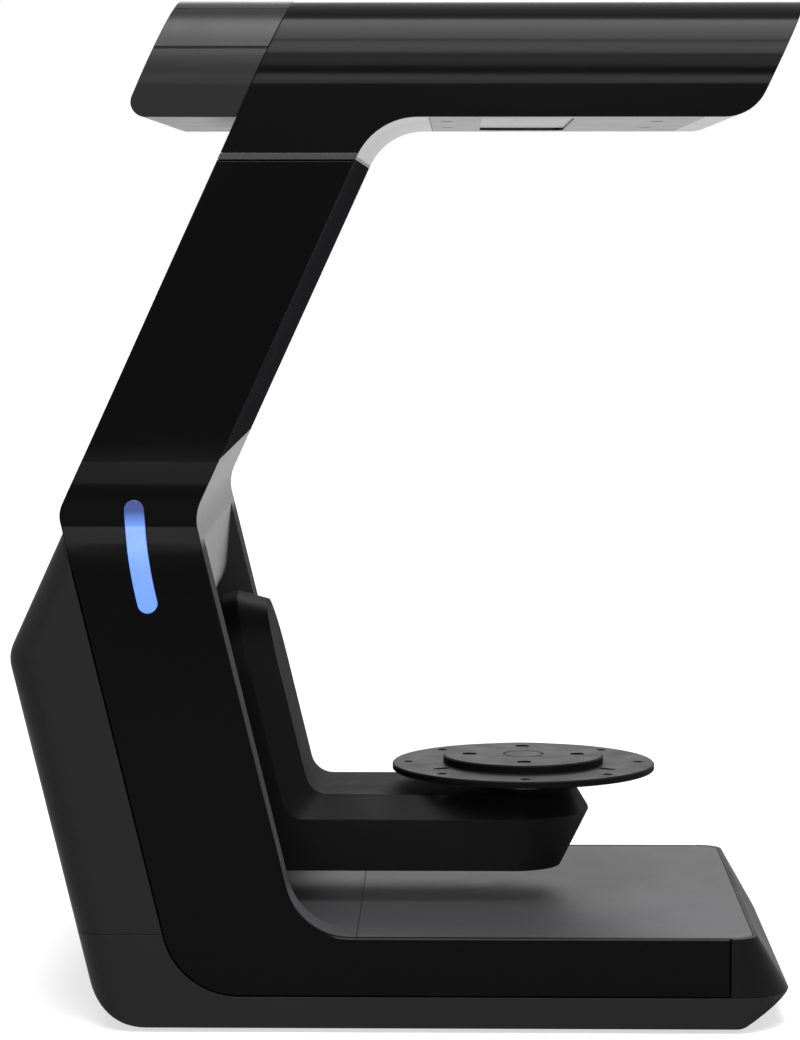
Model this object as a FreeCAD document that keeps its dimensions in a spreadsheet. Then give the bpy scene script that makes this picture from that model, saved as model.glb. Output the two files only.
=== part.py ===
import FreeCAD, Part
import math
import os

import Sketcher
from FreeCAD import Placement, Rotation, Vector

# Desktop 3D scanner. Millimetres. +X right, +Y back, +Z up, the front faces -Y.
# The origin is on the floor, below the middle of the bounding box.

DRIVING_SIZES = (
    ("overall_height", 420.0, "floor to the flat top of the head"),
    ("overall_width", 222.0, "over the two side panels"),
    ("head_front_y", -162.3, "front edge of the head at its top"),
    ("head_rear_y", 92.8, "rear edge of the head at its top"),
    ("head_bottom_height", 371.7, "underside of the head"),
    ("head_front_slope", 25.6, "degrees the front end leans forward"),
    ("head_rear_slope", 23.4, "degrees the rear end leans back towards the floor"),
    ("head_shoulder_radius", 35.0, "long rounded edges along the top"),
    ("arm_lean", 24.5, "degrees the arm leans forward"),
    ("arm_depth", 50.5, "arm, across its two faces"),
    ("seam_y", 68.0, "rear line of the arm at the underside of the head"),
    ("neck_radius", 27.0, "fillet between arm and head"),
    ("trim_height", 356.0, "middle of the neck trim"),
    ("trim_thickness", 2.6, "neck trim"),
    ("column_lean", 13.7, "degrees the column leans back"),
    ("column_foot_y", 43.8, "front line of the column at the base top"),
    ("band_rear_y", 92.8, "rear line of the side panel at the tray seam"),
    ("back_y", 125.1, "rear face of the column, carried down to the floor"),
    ("back_slope_y", 159.4, "sloped back at back_slope_height"),
    ("back_slope_height", 160.3, "height at which back_slope_y holds"),
    ("base_top_height", 39.0, "top of the base"),
    ("base_front_y", -143.5, "front edge of the base top"),
    ("nose_y", -157.5, "tip of the base, just above the tray seam"),
    ("tray_front_y", -134.0, "front of the tray, carried down to the floor"),
    ("tray_seam_height", 14.7, "seam between side panel and tray"),
    ("rear_seam_height", 40.0, "seam between rear cover and tray"),
    ("foot_height", 2.0, "rubber feet below the tray"),
    ("front_corner_radius", 24.0, "base corners seen from above"),
    ("rear_corner_radius", 12.0, "rear edges of the column"),
    ("wall", 2.5, "wall of the covers"),
    ("panel_thickness", 3.2, "side panels"),
    ("seam", 0.2, "gap between neighbouring covers"),
    ("pivot_height", 132.0, "swing axis where it crosses the column front"),
    ("channel_half_width", 89.0, "channel in the column, from the middle"),
    ("channel_depth", 24.0, "channel floor below the column front"),
    ("arm_half_width", 38.0, "swing arm at its widest"),
    ("arm_face_half_width", 31.5, "flat faces of the swing arm"),
    ("arm_front_face", 12.6, "front face of the upright, in front of the column line"),
    ("arm_widest", 0.8, "widest line of the upright, in front of the column line"),
    ("arm_rear_face", 16.0, "rear face of the upright, behind the column line"),
    ("foot_top", 85.2, "top of the swing arm foot"),
    ("foot_widest", 75.3, "widest line of the foot"),
    ("foot_bottom", 53.4, "bottom of the foot"),
    ("foot_end_y", -77.8, "front end of the foot at its widest"),
    ("turntable_y", -49.6, "turntable axis"),
    ("disc_radius", 57.0, "turntable disc"),
    ("disc_top", 94.8, "top of the disc"),
    ("disc_thickness", 3.0, "turntable disc"),
    ("plate_radius", 34.8, "raised centre plate"),
    ("plate_thickness", 3.4, "raised centre plate"),
    ("fixture_circle_radius", 50.0, "hole circle of the disc"),
    ("fixture_hole_radius", 2.1, "holes on that circle"),
    ("shaft_radius", 5.0, "swing shaft"),
    ("spindle_radius", 4.0, "turntable spindle"),
    ("running_gap", 0.05, "radial gap of a shaft in its bearing"),
    ("belt_gap", 0.3, "radial gap between belt and pulley"),
    ("belt_thickness", 1.4, "timing belts"),
    ("belt_width", 6.4, "timing belts"),
    ("swing_pulley_radius", 24.0, "driven pulley of the swing"),
    ("swing_motor_pulley_radius", 8.0, "motor pulley of the swing"),
    ("swing_belt_centres", 70.0, "distance between the swing pulleys"),
    ("spin_pulley_radius", 15.0, "driven pulley of the turntable"),
    ("spin_motor_pulley_radius", 6.0, "motor pulley of the turntable"),
    ("spin_belt_centres", 54.6, "distance between the turntable pulleys"),
    ("bench_height", 405.0, "underside of the optics bench"),
    ("camera_spread", 80.0, "camera back, sideways from the middle"),
    ("camera_tilt", 16.5, "degrees each camera looks inward"),
    ("light_guide_width", 8.0, "status light on the side panels"),
)

doc = FreeCAD.newDocument("DesktopScanner")
sheet = doc.addObject("Spreadsheet::Sheet", "Sizes")
for row, (alias, number, meaning) in enumerate(DRIVING_SIZES, start=1):
    sheet.set(f"A{row}", alias)
    sheet.set(f"B{row}", str(number))
    sheet.setAlias(f"B{row}", alias)
    sheet.set(f"C{row}", meaning)
doc.recompute()


def formula_of(number):
    return number.formula if isinstance(number, Size) else repr(float(number))


class Size(float):
    """A number that keeps the spreadsheet formula it was worked out with."""

    def __new__(cls, number, formula):
        item = super().__new__(cls, number)
        item.formula = formula
        return item

    def __add__(self, other):
        return Size(float(self) + float(other), f"({self.formula} + {formula_of(other)})")

    def __radd__(self, other):
        return Size(float(other) + float(self), f"({formula_of(other)} + {self.formula})")

    def __sub__(self, other):
        return Size(float(self) - float(other), f"({self.formula} - {formula_of(other)})")

    def __rsub__(self, other):
        return Size(float(other) - float(self), f"({formula_of(other)} - {self.formula})")

    def __mul__(self, other):
        return Size(float(self) * float(other), f"({self.formula} * {formula_of(other)})")

    def __rmul__(self, other):
        return Size(float(other) * float(self), f"({formula_of(other)} * {self.formula})")

    def __neg__(self):
        return Size(-float(self), f"(0 - {self.formula})")


def size(alias):
    return Size(float(sheet.get(alias)), f"Sizes.{alias}")


def bind(feature, name, number):
    """Sets a property, and binds it to the sheet where the number comes from there."""
    if isinstance(number, Size):
        feature.setExpression(name, number.formula)
    else:
        setattr(feature, name, float(number))


# ---------------------------------------------------------------- driving numbers

WIDTH = size("overall_width")
HALF_WIDTH = WIDTH * 0.5
TOP = size("overall_height")
HEAD_BOTTOM = size("head_bottom_height")
WALL = size("wall")
PANEL = size("panel_thickness")
SEAM = size("seam")
COVER_WIDTH = WIDTH - 2 * PANEL - 2 * SEAM
BASE_TOP = size("base_top_height")
TRAY_SEAM = size("tray_seam_height")
REAR_SEAM = size("rear_seam_height")
TRAY_BOTTOM = size("foot_height")
NOSE_Y = size("nose_y")
BASE_FRONT_Y = size("base_front_y")
FRONT_RADIUS = size("front_corner_radius")
REAR_RADIUS = size("rear_corner_radius")
SHOULDER = size("head_shoulder_radius")
TRIM_HEIGHT = size("trim_height")
TRIM = size("trim_thickness")
ARM_HALF = size("arm_half_width")
ARM_FACE = size("arm_face_half_width")
ARM_REAR_FACE = size("arm_rear_face")
FOOT_TOP = size("foot_top")
FOOT_BOTTOM = size("foot_bottom")
SPIN_Y = size("turntable_y")
DISC_TOP = size("disc_top")
DISC_THICKNESS = size("disc_thickness")
CHANNEL_HALF = size("channel_half_width")
CHANNEL_DEPTH = size("channel_depth")
SHAFT = size("shaft_radius")
SPINDLE = size("spindle_radius")
RUNNING = size("running_gap")
BENCH = size("bench_height")

ARM_TAN = math.tan(math.radians(size("arm_lean")))
COLUMN_TAN = math.tan(math.radians(size("column_lean")))
COLUMN_COS = math.cos(math.radians(size("column_lean")))
ARM_RUN = size("arm_depth") / math.cos(math.radians(size("arm_lean")))
FRONT_TAN = math.tan(math.radians(size("head_front_slope")))
REAR_TAN = math.tan(math.radians(size("head_rear_slope")))
BEND_RADIUS = 18.0
FOOT_RADIUS = 27.0
BAND_CORNER_RADIUS = 32.0
BACK_CORNER_RADIUS = 15.0
TRAY_CORNER_RADIUS = 25.0


# The slanted lines of the side view, each as its Y at a height.

def arm_rear(height):
    return float(size("seam_y")) + (float(HEAD_BOTTOM) - height) * ARM_TAN


def arm_front(height):
    return arm_rear(height) - float(ARM_RUN)


def column_front(height):
    return float(size("column_foot_y")) + (height - float(BASE_TOP)) * COLUMN_TAN


def band_rear(height):
    return float(size("band_rear_y")) + (height - float(TRAY_SEAM)) * COLUMN_TAN


def back(height):
    return float(size("back_y")) + height * COLUMN_TAN


def back_slope(height):
    return float(size("back_slope_y")) + (float(size("back_slope_height")) - height) * ARM_TAN


def head_front(height):
    return float(size("head_front_y")) + (float(TOP) - height) * FRONT_TAN


def head_rear(height):
    return float(size("head_rear_y")) + (float(TOP) - height) * REAR_TAN


def tray_front(height):
    """The undercut between the tip of the base and the floor of the tray."""
    run = float(NOSE_Y) + 0.8 - float(size("tray_front_y"))
    return float(size("tray_front_y")) + run * height / float(TRAY_SEAM)


def meeting(rising, falling, low=0.0, high=420.0):
    """Where two of the lines above cross, as (y, z)."""
    for _ in range(60):
        middle = (low + high) / 2
        if rising(middle) < falling(middle):
            low = middle
        else:
            high = middle
    return rising(low), low


BEND = meeting(column_front, arm_front)
BAND_BEND = meeting(band_rear, arm_rear)
BACK_TOP = meeting(band_rear, back_slope)
BACK_BEND = meeting(back, back_slope)

PIVOT = Vector(0, column_front(float(size("pivot_height"))), float(size("pivot_height")))
COLUMN_TURN = Rotation(Vector(1, 0, 0), -float(size("column_lean")))
COLUMN_FRAME = Placement(PIVOT, COLUMN_TURN)
WORLD = Placement()
SPIN_FRAME = Placement(Vector(0, float(SPIN_Y), 0), Rotation())


def column_point(depth, rise):
    """(y, z) of a point given by its depth behind the column front and rise above the pivot."""
    point = COLUMN_FRAME.multVec(Vector(0, depth, rise))
    return point.y, point.z


# ---------------------------------------------------------------- drawing helpers

def rounded_loop(corners):
    """Lines and tangent arcs of a closed outline; a corner is (u, v) or (u, v, radius)."""
    points = [Vector(corner[0], corner[1], 0) for corner in corners]
    turns = []
    for index, corner in enumerate(corners):
        here = points[index]
        radius = corner[2] if len(corner) > 2 else 0
        if not radius:
            turns.append((here, None, here))
            continue
        to_last = (points[index - 1] - here).normalize()
        to_next = (points[(index + 1) % len(points)] - here).normalize()
        half_angle = to_last.getAngle(to_next) / 2
        reach = radius / math.tan(half_angle)
        inward = (to_last + to_next).normalize()
        middle = here + inward * (radius / math.sin(half_angle) - radius)
        turns.append((here + to_last * reach, middle, here + to_next * reach))
    edges = []
    for index, (start, middle, end) in enumerate(turns):
        if middle is not None:
            edges.append(Part.Arc(start, middle, end))
        following = turns[(index + 1) % len(turns)][0]
        if end.distanceToPoint(following) > 1e-4:
            edges.append(Part.LineSegment(end, following))
    return edges


def rectangle(u_low, u_high, v_low, v_high, radius=0):
    return rounded_loop([(u_low, v_low, radius), (u_high, v_low, radius),
                         (u_high, v_high, radius), (u_low, v_high, radius)])


def box_loop(u_centre, v_centre, width, height, radius=0):
    return rectangle(u_centre - width / 2, u_centre + width / 2,
                     v_centre - height / 2, v_centre + height / 2, radius)


def circle(u, v, radius):
    return [(u, v, radius)]


def belt_loop(v_low, radius_low, v_high, radius_high):
    """Outline of a belt run round two circles, one above the other, both at u = 0."""
    lean = math.asin((radius_high - radius_low) / (v_high - v_low))
    side = Vector(math.cos(lean), -math.sin(lean), 0)
    mirror = Vector(-side.x, side.y, 0)
    low = Vector(0, v_low, 0)
    high = Vector(0, v_high, 0)
    bottom = low + Vector(0, -radius_low, 0)
    top = high + Vector(0, radius_high, 0)
    return [Part.Arc(low + mirror * radius_low, bottom, low + side * radius_low),
            Part.LineSegment(low + side * radius_low, high + side * radius_high),
            Part.Arc(high + side * radius_high, top, high + mirror * radius_high),
            Part.LineSegment(high + mirror * radius_high, low + mirror * radius_low)]


def shifted(corners, distances):
    """The outline with edge i, from corner i to the next, moved inward by distances[i]."""
    count = len(corners)
    area = sum(corners[i][0] * corners[(i + 1) % count][1] - corners[(i + 1) % count][0] * corners[i][1]
               for i in range(count))
    turn = 1 if area > 0 else -1
    lines = []
    for index in range(count):
        start = Vector(corners[index][0], corners[index][1], 0)
        end = Vector(corners[(index + 1) % count][0], corners[(index + 1) % count][1], 0)
        along = (end - start).normalize()
        inward = Vector(-along.y, along.x, 0) * turn
        lines.append((start + inward * distances[index], along))
    result = []
    for index, corner in enumerate(corners):
        point, along = lines[index - 1]
        other, across = lines[index]
        cross = along.x * across.y - along.y * across.x
        gap = other - point
        step = (gap.x * across.y - gap.y * across.x) / cross
        met = point + along * step
        radius = corner[2] if len(corner) > 2 else 0
        if radius:
            convex = cross * turn > 0
            moved = max(distances[index - 1], distances[index])
            radius = max(radius - moved, 0.5) if convex else radius + moved
        result.append((met.x, met.y, radius))
    return result


# ---------------------------------------------------------------- feature helpers

parts = []
pockets = []


def keep(item, label):
    """Names a finished sub-part and lists it for export."""
    item.Label = label
    parts.append(item)
    return item


def new_body(name, placement=WORLD):
    body = doc.addObject("PartDesign::Body", name)
    body.Placement = placement
    return body


def add_sketch(body, plane, offset, loops):
    """A sketch of closed loops, parallel to one of the body's own origin planes."""
    sketch = body.newObject("Sketcher::SketchObject", body.Name + "_sketch")
    support = next(item for item in body.Origin.OriginFeatures if item.Role == plane)
    sketch.AttachmentSupport = [(support, "")]
    sketch.MapMode = "FlatFace"
    sketch.AttachmentOffset = Placement(Vector(0, 0, float(offset)), Rotation())
    if isinstance(offset, Size):
        sketch.setExpression(".AttachmentOffset.Base.z", offset.formula)
    for loop in loops:
        if len(loop) == 1:
            u, v, radius = loop[0]
            index = sketch.addGeometry(Part.Circle(Vector(u, v, 0), Vector(0, 0, 1), float(radius)), False)
            rule = sketch.addConstraint(Sketcher.Constraint("Radius", index, float(radius)))
            if isinstance(radius, Size):
                sketch.setExpression(f"Constraints[{rule}]", radius.formula)
            continue
        for edge in loop:
            sketch.addGeometry(edge, False)
    return sketch


def pad(body, plane, start, length, *loops):
    """Adds the loops, from start to start + length along the plane's normal."""
    feature = body.newObject("PartDesign::Pad", body.Name + "_pad")
    feature.Profile = add_sketch(body, plane, start, loops)
    bind(feature, "Length", length)
    body.Tip = feature
    return feature


def pad_across(body, width, *loops):
    """Adds loops drawn in the side view (y, z), centred on the middle plane."""
    feature = body.newObject("PartDesign::Pad", body.Name + "_pad")
    feature.Profile = add_sketch(body, "YZ_Plane", 0, loops)
    feature.SideType = "Symmetric"
    bind(feature, "Length", width)
    body.Tip = feature
    return feature


def pocket(body, plane, start, length, *loops):
    """Removes the loops, from start to start + length along the plane's normal."""
    feature = body.newObject("PartDesign::Pocket", body.Name + "_pocket")
    feature.Profile = add_sketch(body, plane, start, loops)
    feature.Reversed = True
    bind(feature, "Length", length)
    body.Tip = feature
    pockets.append(feature)
    return feature


def pocket_across(body, width, *loops):
    feature = body.newObject("PartDesign::Pocket", body.Name + "_pocket")
    feature.Profile = add_sketch(body, "YZ_Plane", 0, loops)
    feature.SideType = "Symmetric"
    bind(feature, "Length", width)
    body.Tip = feature
    pockets.append(feature)
    return feature


def turned(name, plane, profile, placement):
    """A body turned about the sketch's vertical axis; the profile is (radius, height) corners."""
    body = new_body(name, placement)
    feature = body.newObject("PartDesign::Revolution", name + "_turn")
    sketch = add_sketch(body, plane, 0, [rounded_loop(profile)])
    feature.Profile = sketch
    feature.ReferenceAxis = (sketch, ["V_Axis"])
    feature.Angle = 360
    body.Tip = feature
    return body


def chosen_edges(body, wanted):
    """The body's tip, with the names of its edges whose middle point passes the test."""
    doc.recompute()
    tip = body.Tip
    names = []
    for index, edge in enumerate(tip.Shape.Edges, start=1):
        if wanted(edge.valueAt((edge.FirstParameter + edge.LastParameter) / 2), edge):
            names.append(f"Edge{index}")
    return tip, names


def round_edges(body, radius, wanted):
    """Fillets the tip's edges whose middle point passes the test."""
    base = chosen_edges(body, wanted)
    feature = body.newObject("PartDesign::Fillet", body.Name + "_fillet")
    feature.Base = base
    bind(feature, "Radius", radius)
    body.Tip = feature
    return feature


def bevel_edges(body, length, wanted):
    """Chamfers the tip's edges whose middle point passes the test."""
    base = chosen_edges(body, wanted)
    feature = body.newObject("PartDesign::Chamfer", body.Name + "_chamfer")
    feature.Base = base
    bind(feature, "Size", length)
    body.Tip = feature
    return feature


def spun(body, count, *features):
    """Repeats features evenly about the body's Z axis."""
    pattern = body.newObject("PartDesign::PolarPattern", body.Name + "_ring")
    pattern.Originals = list(features)
    axis = next(item for item in body.Origin.OriginFeatures if item.Role == "Z_Axis")
    pattern.Axis = (axis, [""])
    pattern.Angle = 360
    pattern.Occurrences = count
    body.Tip = pattern
    return pattern


def difference(base, *tools):
    """Base with every tool cut out of it."""
    result = base
    for tool in tools:
        cut = doc.addObject("Part::Cut", base.Name + "_cut")
        cut.Base = result
        cut.Tool = tool
        result = cut
    return result


def common(name, first, second):
    result = doc.addObject("Part::Common", name)
    result.Base = first
    result.Tool = second
    return result


def drill(name, radius, length, position, frame=WORLD, axis=Vector(0, 0, 1)):
    """A round cutter that starts at a position of the frame and runs along the axis."""
    tool = doc.addObject("Part::Cylinder", name)
    bind(tool, "Radius", radius)
    bind(tool, "Height", length)
    tool.Placement = frame.multiply(Placement(position, Rotation(Vector(0, 0, 1), axis)))
    return tool


# ---------------------------------------------------------------- head

BOTTOM_FRONT_Y = -120.0
BOTTOM_REAR_Y = -9.0
WINDOW_HALF_X = 95.0
WINDOW_HALF_Y = 22.0
VENT_HEIGHT = 395.0
SIDE_GROOVE = (399.0, 400.1)
SHOULDER_GROOVE = (91.4, 92.6)

HEAD_SCREWS = [(x, y) for x in (-48.0, 48.0) for y in (-104.0, -16.0)]


def head_solid(name, outline, inset):
    """A side-view outline kept inside a cross-section with two long rounded top edges."""
    side_view = new_body(name + "_side_view")
    pad_across(side_view, WIDTH, rounded_loop(outline))
    half = float(HALF_WIDTH) - float(inset)
    top = float(TOP) - float(inset)
    round_top = float(SHOULDER) - float(inset)
    section = new_body(name + "_section")
    pad(section, "XZ_Plane", -130, 310,
        rounded_loop([(-half, 340), (half, 340), (half, top, round_top), (-half, top, round_top)]))
    return common(name, side_view, section)


def head_cover():
    neck_low = float(TRIM_HEIGHT + TRIM * 0.5 + SEAM)
    bottom = float(HEAD_BOTTOM)
    outline = [(head_front(float(TOP)), float(TOP), 1.2),
               (head_front(bottom), bottom, 18.0),
               (arm_front(bottom), bottom, float(size("neck_radius"))),
               (arm_front(neck_low), neck_low),
               (arm_rear(neck_low), neck_low),
               (arm_rear(float(TOP)), float(TOP))]
    wall = float(WALL)
    hollow = shifted(outline, [wall, wall, wall, -5.0, wall, wall])
    outer = head_solid("head_cover_outside", outline, 0.0)
    inner = head_solid("head_cover_inside", hollow, WALL)
    underside = new_body("head_cover_underside")
    pad(underside, "XY_Plane", HEAD_BOTTOM - 1, 3.6,
        rectangle(-float(COVER_WIDTH) / 2 - 0.2, float(COVER_WIDTH) / 2 + 0.2, BOTTOM_FRONT_Y, BOTTOM_REAR_Y))
    passage = new_body("head_cover_passage")
    pad_across(passage, WIDTH - 30, rounded_loop([(40, 380), (90, 380), (72, 408), (30, 408)]))
    return keep(difference(outer, inner, underside, passage), "head_cover")


def head_rear_cap():
    top = float(TOP)
    bottom = float(HEAD_BOTTOM)
    gap = float(SEAM)
    outline = [(arm_rear(top) + gap, top),
               (arm_rear(bottom) + gap, bottom),
               (head_rear(bottom), bottom, 6.0),
               (head_rear(top), top, 1.5)]
    wall = float(WALL)
    hollow = shifted(outline, [-5.0, wall, wall, wall])
    outer = head_solid("head_rear_cap_outside", outline, 0.0)
    inner = head_solid("head_rear_cap_inside", hollow, WALL)
    slope = Rotation(Vector(1, 0, 0), -float(size("head_rear_slope")))
    vents = new_body("head_rear_cap_vents", Placement(Vector(0, head_rear(VENT_HEIGHT), VENT_HEIGHT), slope))
    slots = [box_loop(0, rise, 84, 2.6, 1.25) for rise in (-12.5, -7.5, -2.5, 2.5, 7.5, 12.5)]
    pad(vents, "XZ_Plane", -6, 12, *slots)
    grooves = new_body("head_rear_cap_grooves")
    side = float(HALF_WIDTH) - 3.6
    low, high = SIDE_GROOVE
    near, far = SHOULDER_GROOVE
    pad(grooves, "XZ_Plane", -120, 120,
        rectangle(side, side + 5, low, high),
        rectangle(-side - 5, -side, low, high),
        rectangle(near, far, top - 4.7, top + 1),
        rectangle(-far, -near, top - 4.7, top + 1))
    return keep(difference(outer, inner, vents, grooves), "head_rear_cap")


def head_bottom_cover():
    body = new_body("head_bottom_cover_body")
    half = float(COVER_WIDTH) / 2
    pad(body, "XY_Plane", HEAD_BOTTOM, WALL,
        rectangle(-half, half, BOTTOM_FRONT_Y + 0.2, BOTTOM_REAR_Y - 0.2, 1.0),
        box_loop(0, float(SPIN_Y), 2 * WINDOW_HALF_X - 6, 2 * WINDOW_HALF_Y - 6, 6.0))
    pocket(body, "XY_Plane", HEAD_BOTTOM + 1, 3,
           box_loop(0, float(SPIN_Y), 2 * WINDOW_HALF_X, 2 * WINDOW_HALF_Y, 9.0))
    pocket(body, "XY_Plane", HEAD_BOTTOM - 1, 5, *[circle(x, y, 1.6) for x, y in HEAD_SCREWS])
    pocket(body, "XY_Plane", HEAD_BOTTOM - 1, 2.4, *[circle(x, y, 3.0) for x, y in HEAD_SCREWS])
    return keep(body, "head_bottom_cover")


def optical_window():
    body = new_body("optical_window_body")
    pad(body, "XY_Plane", HEAD_BOTTOM + 1.05, WALL - 1.05,
        box_loop(0, float(SPIN_Y), 2 * WINDOW_HALF_X - 0.3, 2 * WINDOW_HALF_Y - 0.3, 8.85))
    return keep(body, "optical_window")


def screw_group(label, places, head_low, head_radius, head_height, shank_radius, shank_length):
    """Cap screws that point up, one solid each, their heads at head_low."""
    body = new_body(label + "_body")
    pad(body, "XY_Plane", head_low, head_height, *[circle(x, y, head_radius) for x, y in places])
    pad(body, "XY_Plane", head_low + head_height, shank_length,
        *[circle(x, y, shank_radius) for x, y in places])
    pocket(body, "XY_Plane", head_low, 0.9, *[circle(x, y, head_radius * 0.45) for x, y in places])
    return keep(body, label)


def neck_trim():
    low = float(TRIM_HEIGHT - TRIM * 0.5)
    high = float(TRIM_HEIGHT + TRIM * 0.5)
    outline = [(arm_front(low), low), (arm_rear(low), low), (arm_rear(high), high), (arm_front(high), high)]
    body = new_body("neck_trim_body")
    pad_across(body, WIDTH, rounded_loop(outline))
    inside = shifted(outline, [-5, 4, -5, 4])
    pocket_across(body, WIDTH - 8, rounded_loop(inside))
    return keep(body, "neck_trim")


# ---------------------------------------------------------------- side panels

PANEL_FRONT_Y = -132.0


def panel_outline():
    high = float(TRIM_HEIGHT - TRIM * 0.5 - SEAM)
    low = float(TRAY_SEAM + SEAM)
    base = float(BASE_TOP)
    return [(arm_rear(high), high),
            (BAND_BEND[0], BAND_BEND[1], 12.0),
            (band_rear(low), low, BAND_CORNER_RADIUS),
            (PANEL_FRONT_Y, low),
            (PANEL_FRONT_Y, base),
            (float(size("column_foot_y")), base, FOOT_RADIUS),
            (BEND[0], BEND[1], BEND_RADIUS),
            (arm_front(high), high)]


ARM_RELIEF = 2.0
CREST_RELIEF = 0.35
DIP_RELIEF = 1.8


def light_guide_loop(margin):
    """A gently bowed bar with round ends, in the side view."""
    high = Vector(110.0, 213.5, 0)
    middle = Vector(108.1, 193.0, 0)
    low = Vector(104.6, 175.5, 0)
    bow = Part.Circle(high, middle, low)
    half = float(size("light_guide_width")) / 2 + margin
    outward = (middle - bow.Center).normalize()
    radius = bow.Radius

    def at(point, shift):
        return bow.Center + (point - bow.Center).normalize() * (radius + shift)

    along_high = Vector(-(high - bow.Center).y, (high - bow.Center).x, 0).normalize()
    along_low = Vector(-(low - bow.Center).y, (low - bow.Center).x, 0).normalize()
    if along_high.y < 0:
        along_high = along_high * -1
    if along_low.y > 0:
        along_low = along_low * -1
    mid_plus = bow.Center + outward * (radius + half)
    mid_minus = bow.Center + outward * (radius - half)
    return [Part.Arc(at(high, half), mid_plus, at(low, half)),
            Part.Arc(at(low, half), low + along_low * half, at(low, -half)),
            Part.Arc(at(low, -half), mid_minus, at(high, -half)),
            Part.Arc(at(high, -half), high + along_high * half, at(high, half))]


def bend_relief(sign):
    """Front view of what is taken off a panel's outer face, as (height, depth, radius): the arm lies
    deeper than the neck, swells outward to a crest at the bend, dips below it and runs out on the column."""
    face = float(HALF_WIDTH) + 0.02
    outside = face + 2
    surface = [(330, 0), (262, ARM_RELIEF, 300), (239, ARM_RELIEF, 140), (220, CREST_RELIEF, 45),
               (207, DIP_RELIEF, 4), (194, CREST_RELIEF, 130), (178, 0)]
    profile = [(outside, 330)]
    profile += [(face - depth, height, *radius) for height, depth, *radius in surface]
    profile.append((outside, 178))
    return rounded_loop([(sign * corner[0],) + corner[1:] for corner in profile])


def near_light(point):
    return 95 < point.y < 120 and 165 < point.z < 225


def side_panel(side, sign):
    body = new_body(f"side_panel_{side}_body")
    start = HALF_WIDTH - PANEL if sign > 0 else -HALF_WIDTH
    pad(body, "YZ_Plane", start, PANEL, rounded_loop(panel_outline()), light_guide_loop(0.15))
    outer_face = sign * float(HALF_WIDTH)

    def outer_rim(point, edge):
        return abs(point.x - outer_face) < 0.01 and not near_light(point)

    bevel_edges(body, 0.6, outer_rim)
    pocket(body, "XZ_Plane", -150, 300, bend_relief(sign))
    return keep(body, f"side_panel_{side}")


def light_guide(side, sign):
    body = new_body(f"light_guide_{side}_body")
    start = HALF_WIDTH - PANEL if sign > 0 else -HALF_WIDTH
    pad(body, "YZ_Plane", start, PANEL, light_guide_loop(0.0))
    pocket(body, "XZ_Plane", -150, 300, bend_relief(sign))
    return keep(body, f"light_guide_{side}")


# ---------------------------------------------------------------- arm and column covers

ARM_SPLIT = 234.0
RIB_X = 94.5
RIB_DEPTH = 7.0

FOOT_PLATE_Y = 20.0
CHANNEL_START = 201.0


def rib_pair(body, line, reach, high, low):
    """Two upright ribs inside a cover of the arm, that reach inward from a line of the side view."""
    for x in (-RIB_X - float(WALL), RIB_X):
        pad(body, "YZ_Plane", x, WALL,
            rounded_loop([(line(high), high), (line(low), low),
                          (line(low) + reach, low), (line(high) + reach, high)]))


def arm_front_inside(height):
    return arm_front(height) + float(WALL) / math.cos(math.radians(size("arm_lean")))


def arm_rear_inside(height):
    return arm_rear(height) - float(WALL) / math.cos(math.radians(size("arm_lean"))) + 0.2


def arm_front_cover():
    high = float(TRIM_HEIGHT - TRIM * 0.5 - SEAM)
    low = ARM_SPLIT
    body = new_body("arm_front_cover_body")
    skin = [(arm_front(high), high), (arm_front(low), low), (arm_front_inside(low), low),
            (arm_front_inside(high), high)]
    pad_across(body, COVER_WIDTH, rounded_loop(skin))
    rib_pair(body, arm_front_inside, RIB_DEPTH, high - 2, low + 6)
    return keep(body, "arm_front_cover")


def arm_rear_cover():
    """The skin behind the arm, bent at the column and carried on inside the rear cover."""
    high = float(TRIM_HEIGHT - TRIM * 0.5 - SEAM)
    low = BAND_BEND[1] - 16.0
    depth = 30.0
    line = [(arm_rear(high), high), (BAND_BEND[0], BAND_BEND[1], 12.0), (band_rear(low), low),
            (band_rear(low) - depth, low), (BAND_BEND[0] - depth, BAND_BEND[1], 12.0),
            (arm_rear(high) - depth, high)]
    inner = shifted(line, [float(WALL), float(WALL), 0, 0, 0, 0])
    body = new_body("arm_rear_cover_body")
    pad_across(body, COVER_WIDTH, rounded_loop(line[:3] + inner[2:0:-1] + inner[:1]))
    rib_pair(body, arm_rear_inside, -RIB_DEPTH, high - 2, BAND_BEND[1] + 4)
    return keep(body, "arm_rear_cover")


def channel_floor():
    """The channel's floor in the side view, from its top edge down to the base top."""
    run = float(CHANNEL_DEPTH) / COLUMN_COS
    base = float(BASE_TOP)
    lip = column_point(8.5, 42.0)
    step = column_point(float(CHANNEL_DEPTH), 26.0)
    return [(column_front(CHANNEL_START), CHANNEL_START),
            (lip[0], lip[1], 24.0),
            (step[0], step[1], 20.0),
            (column_front(base) + run, base, 12.0)]


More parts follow.
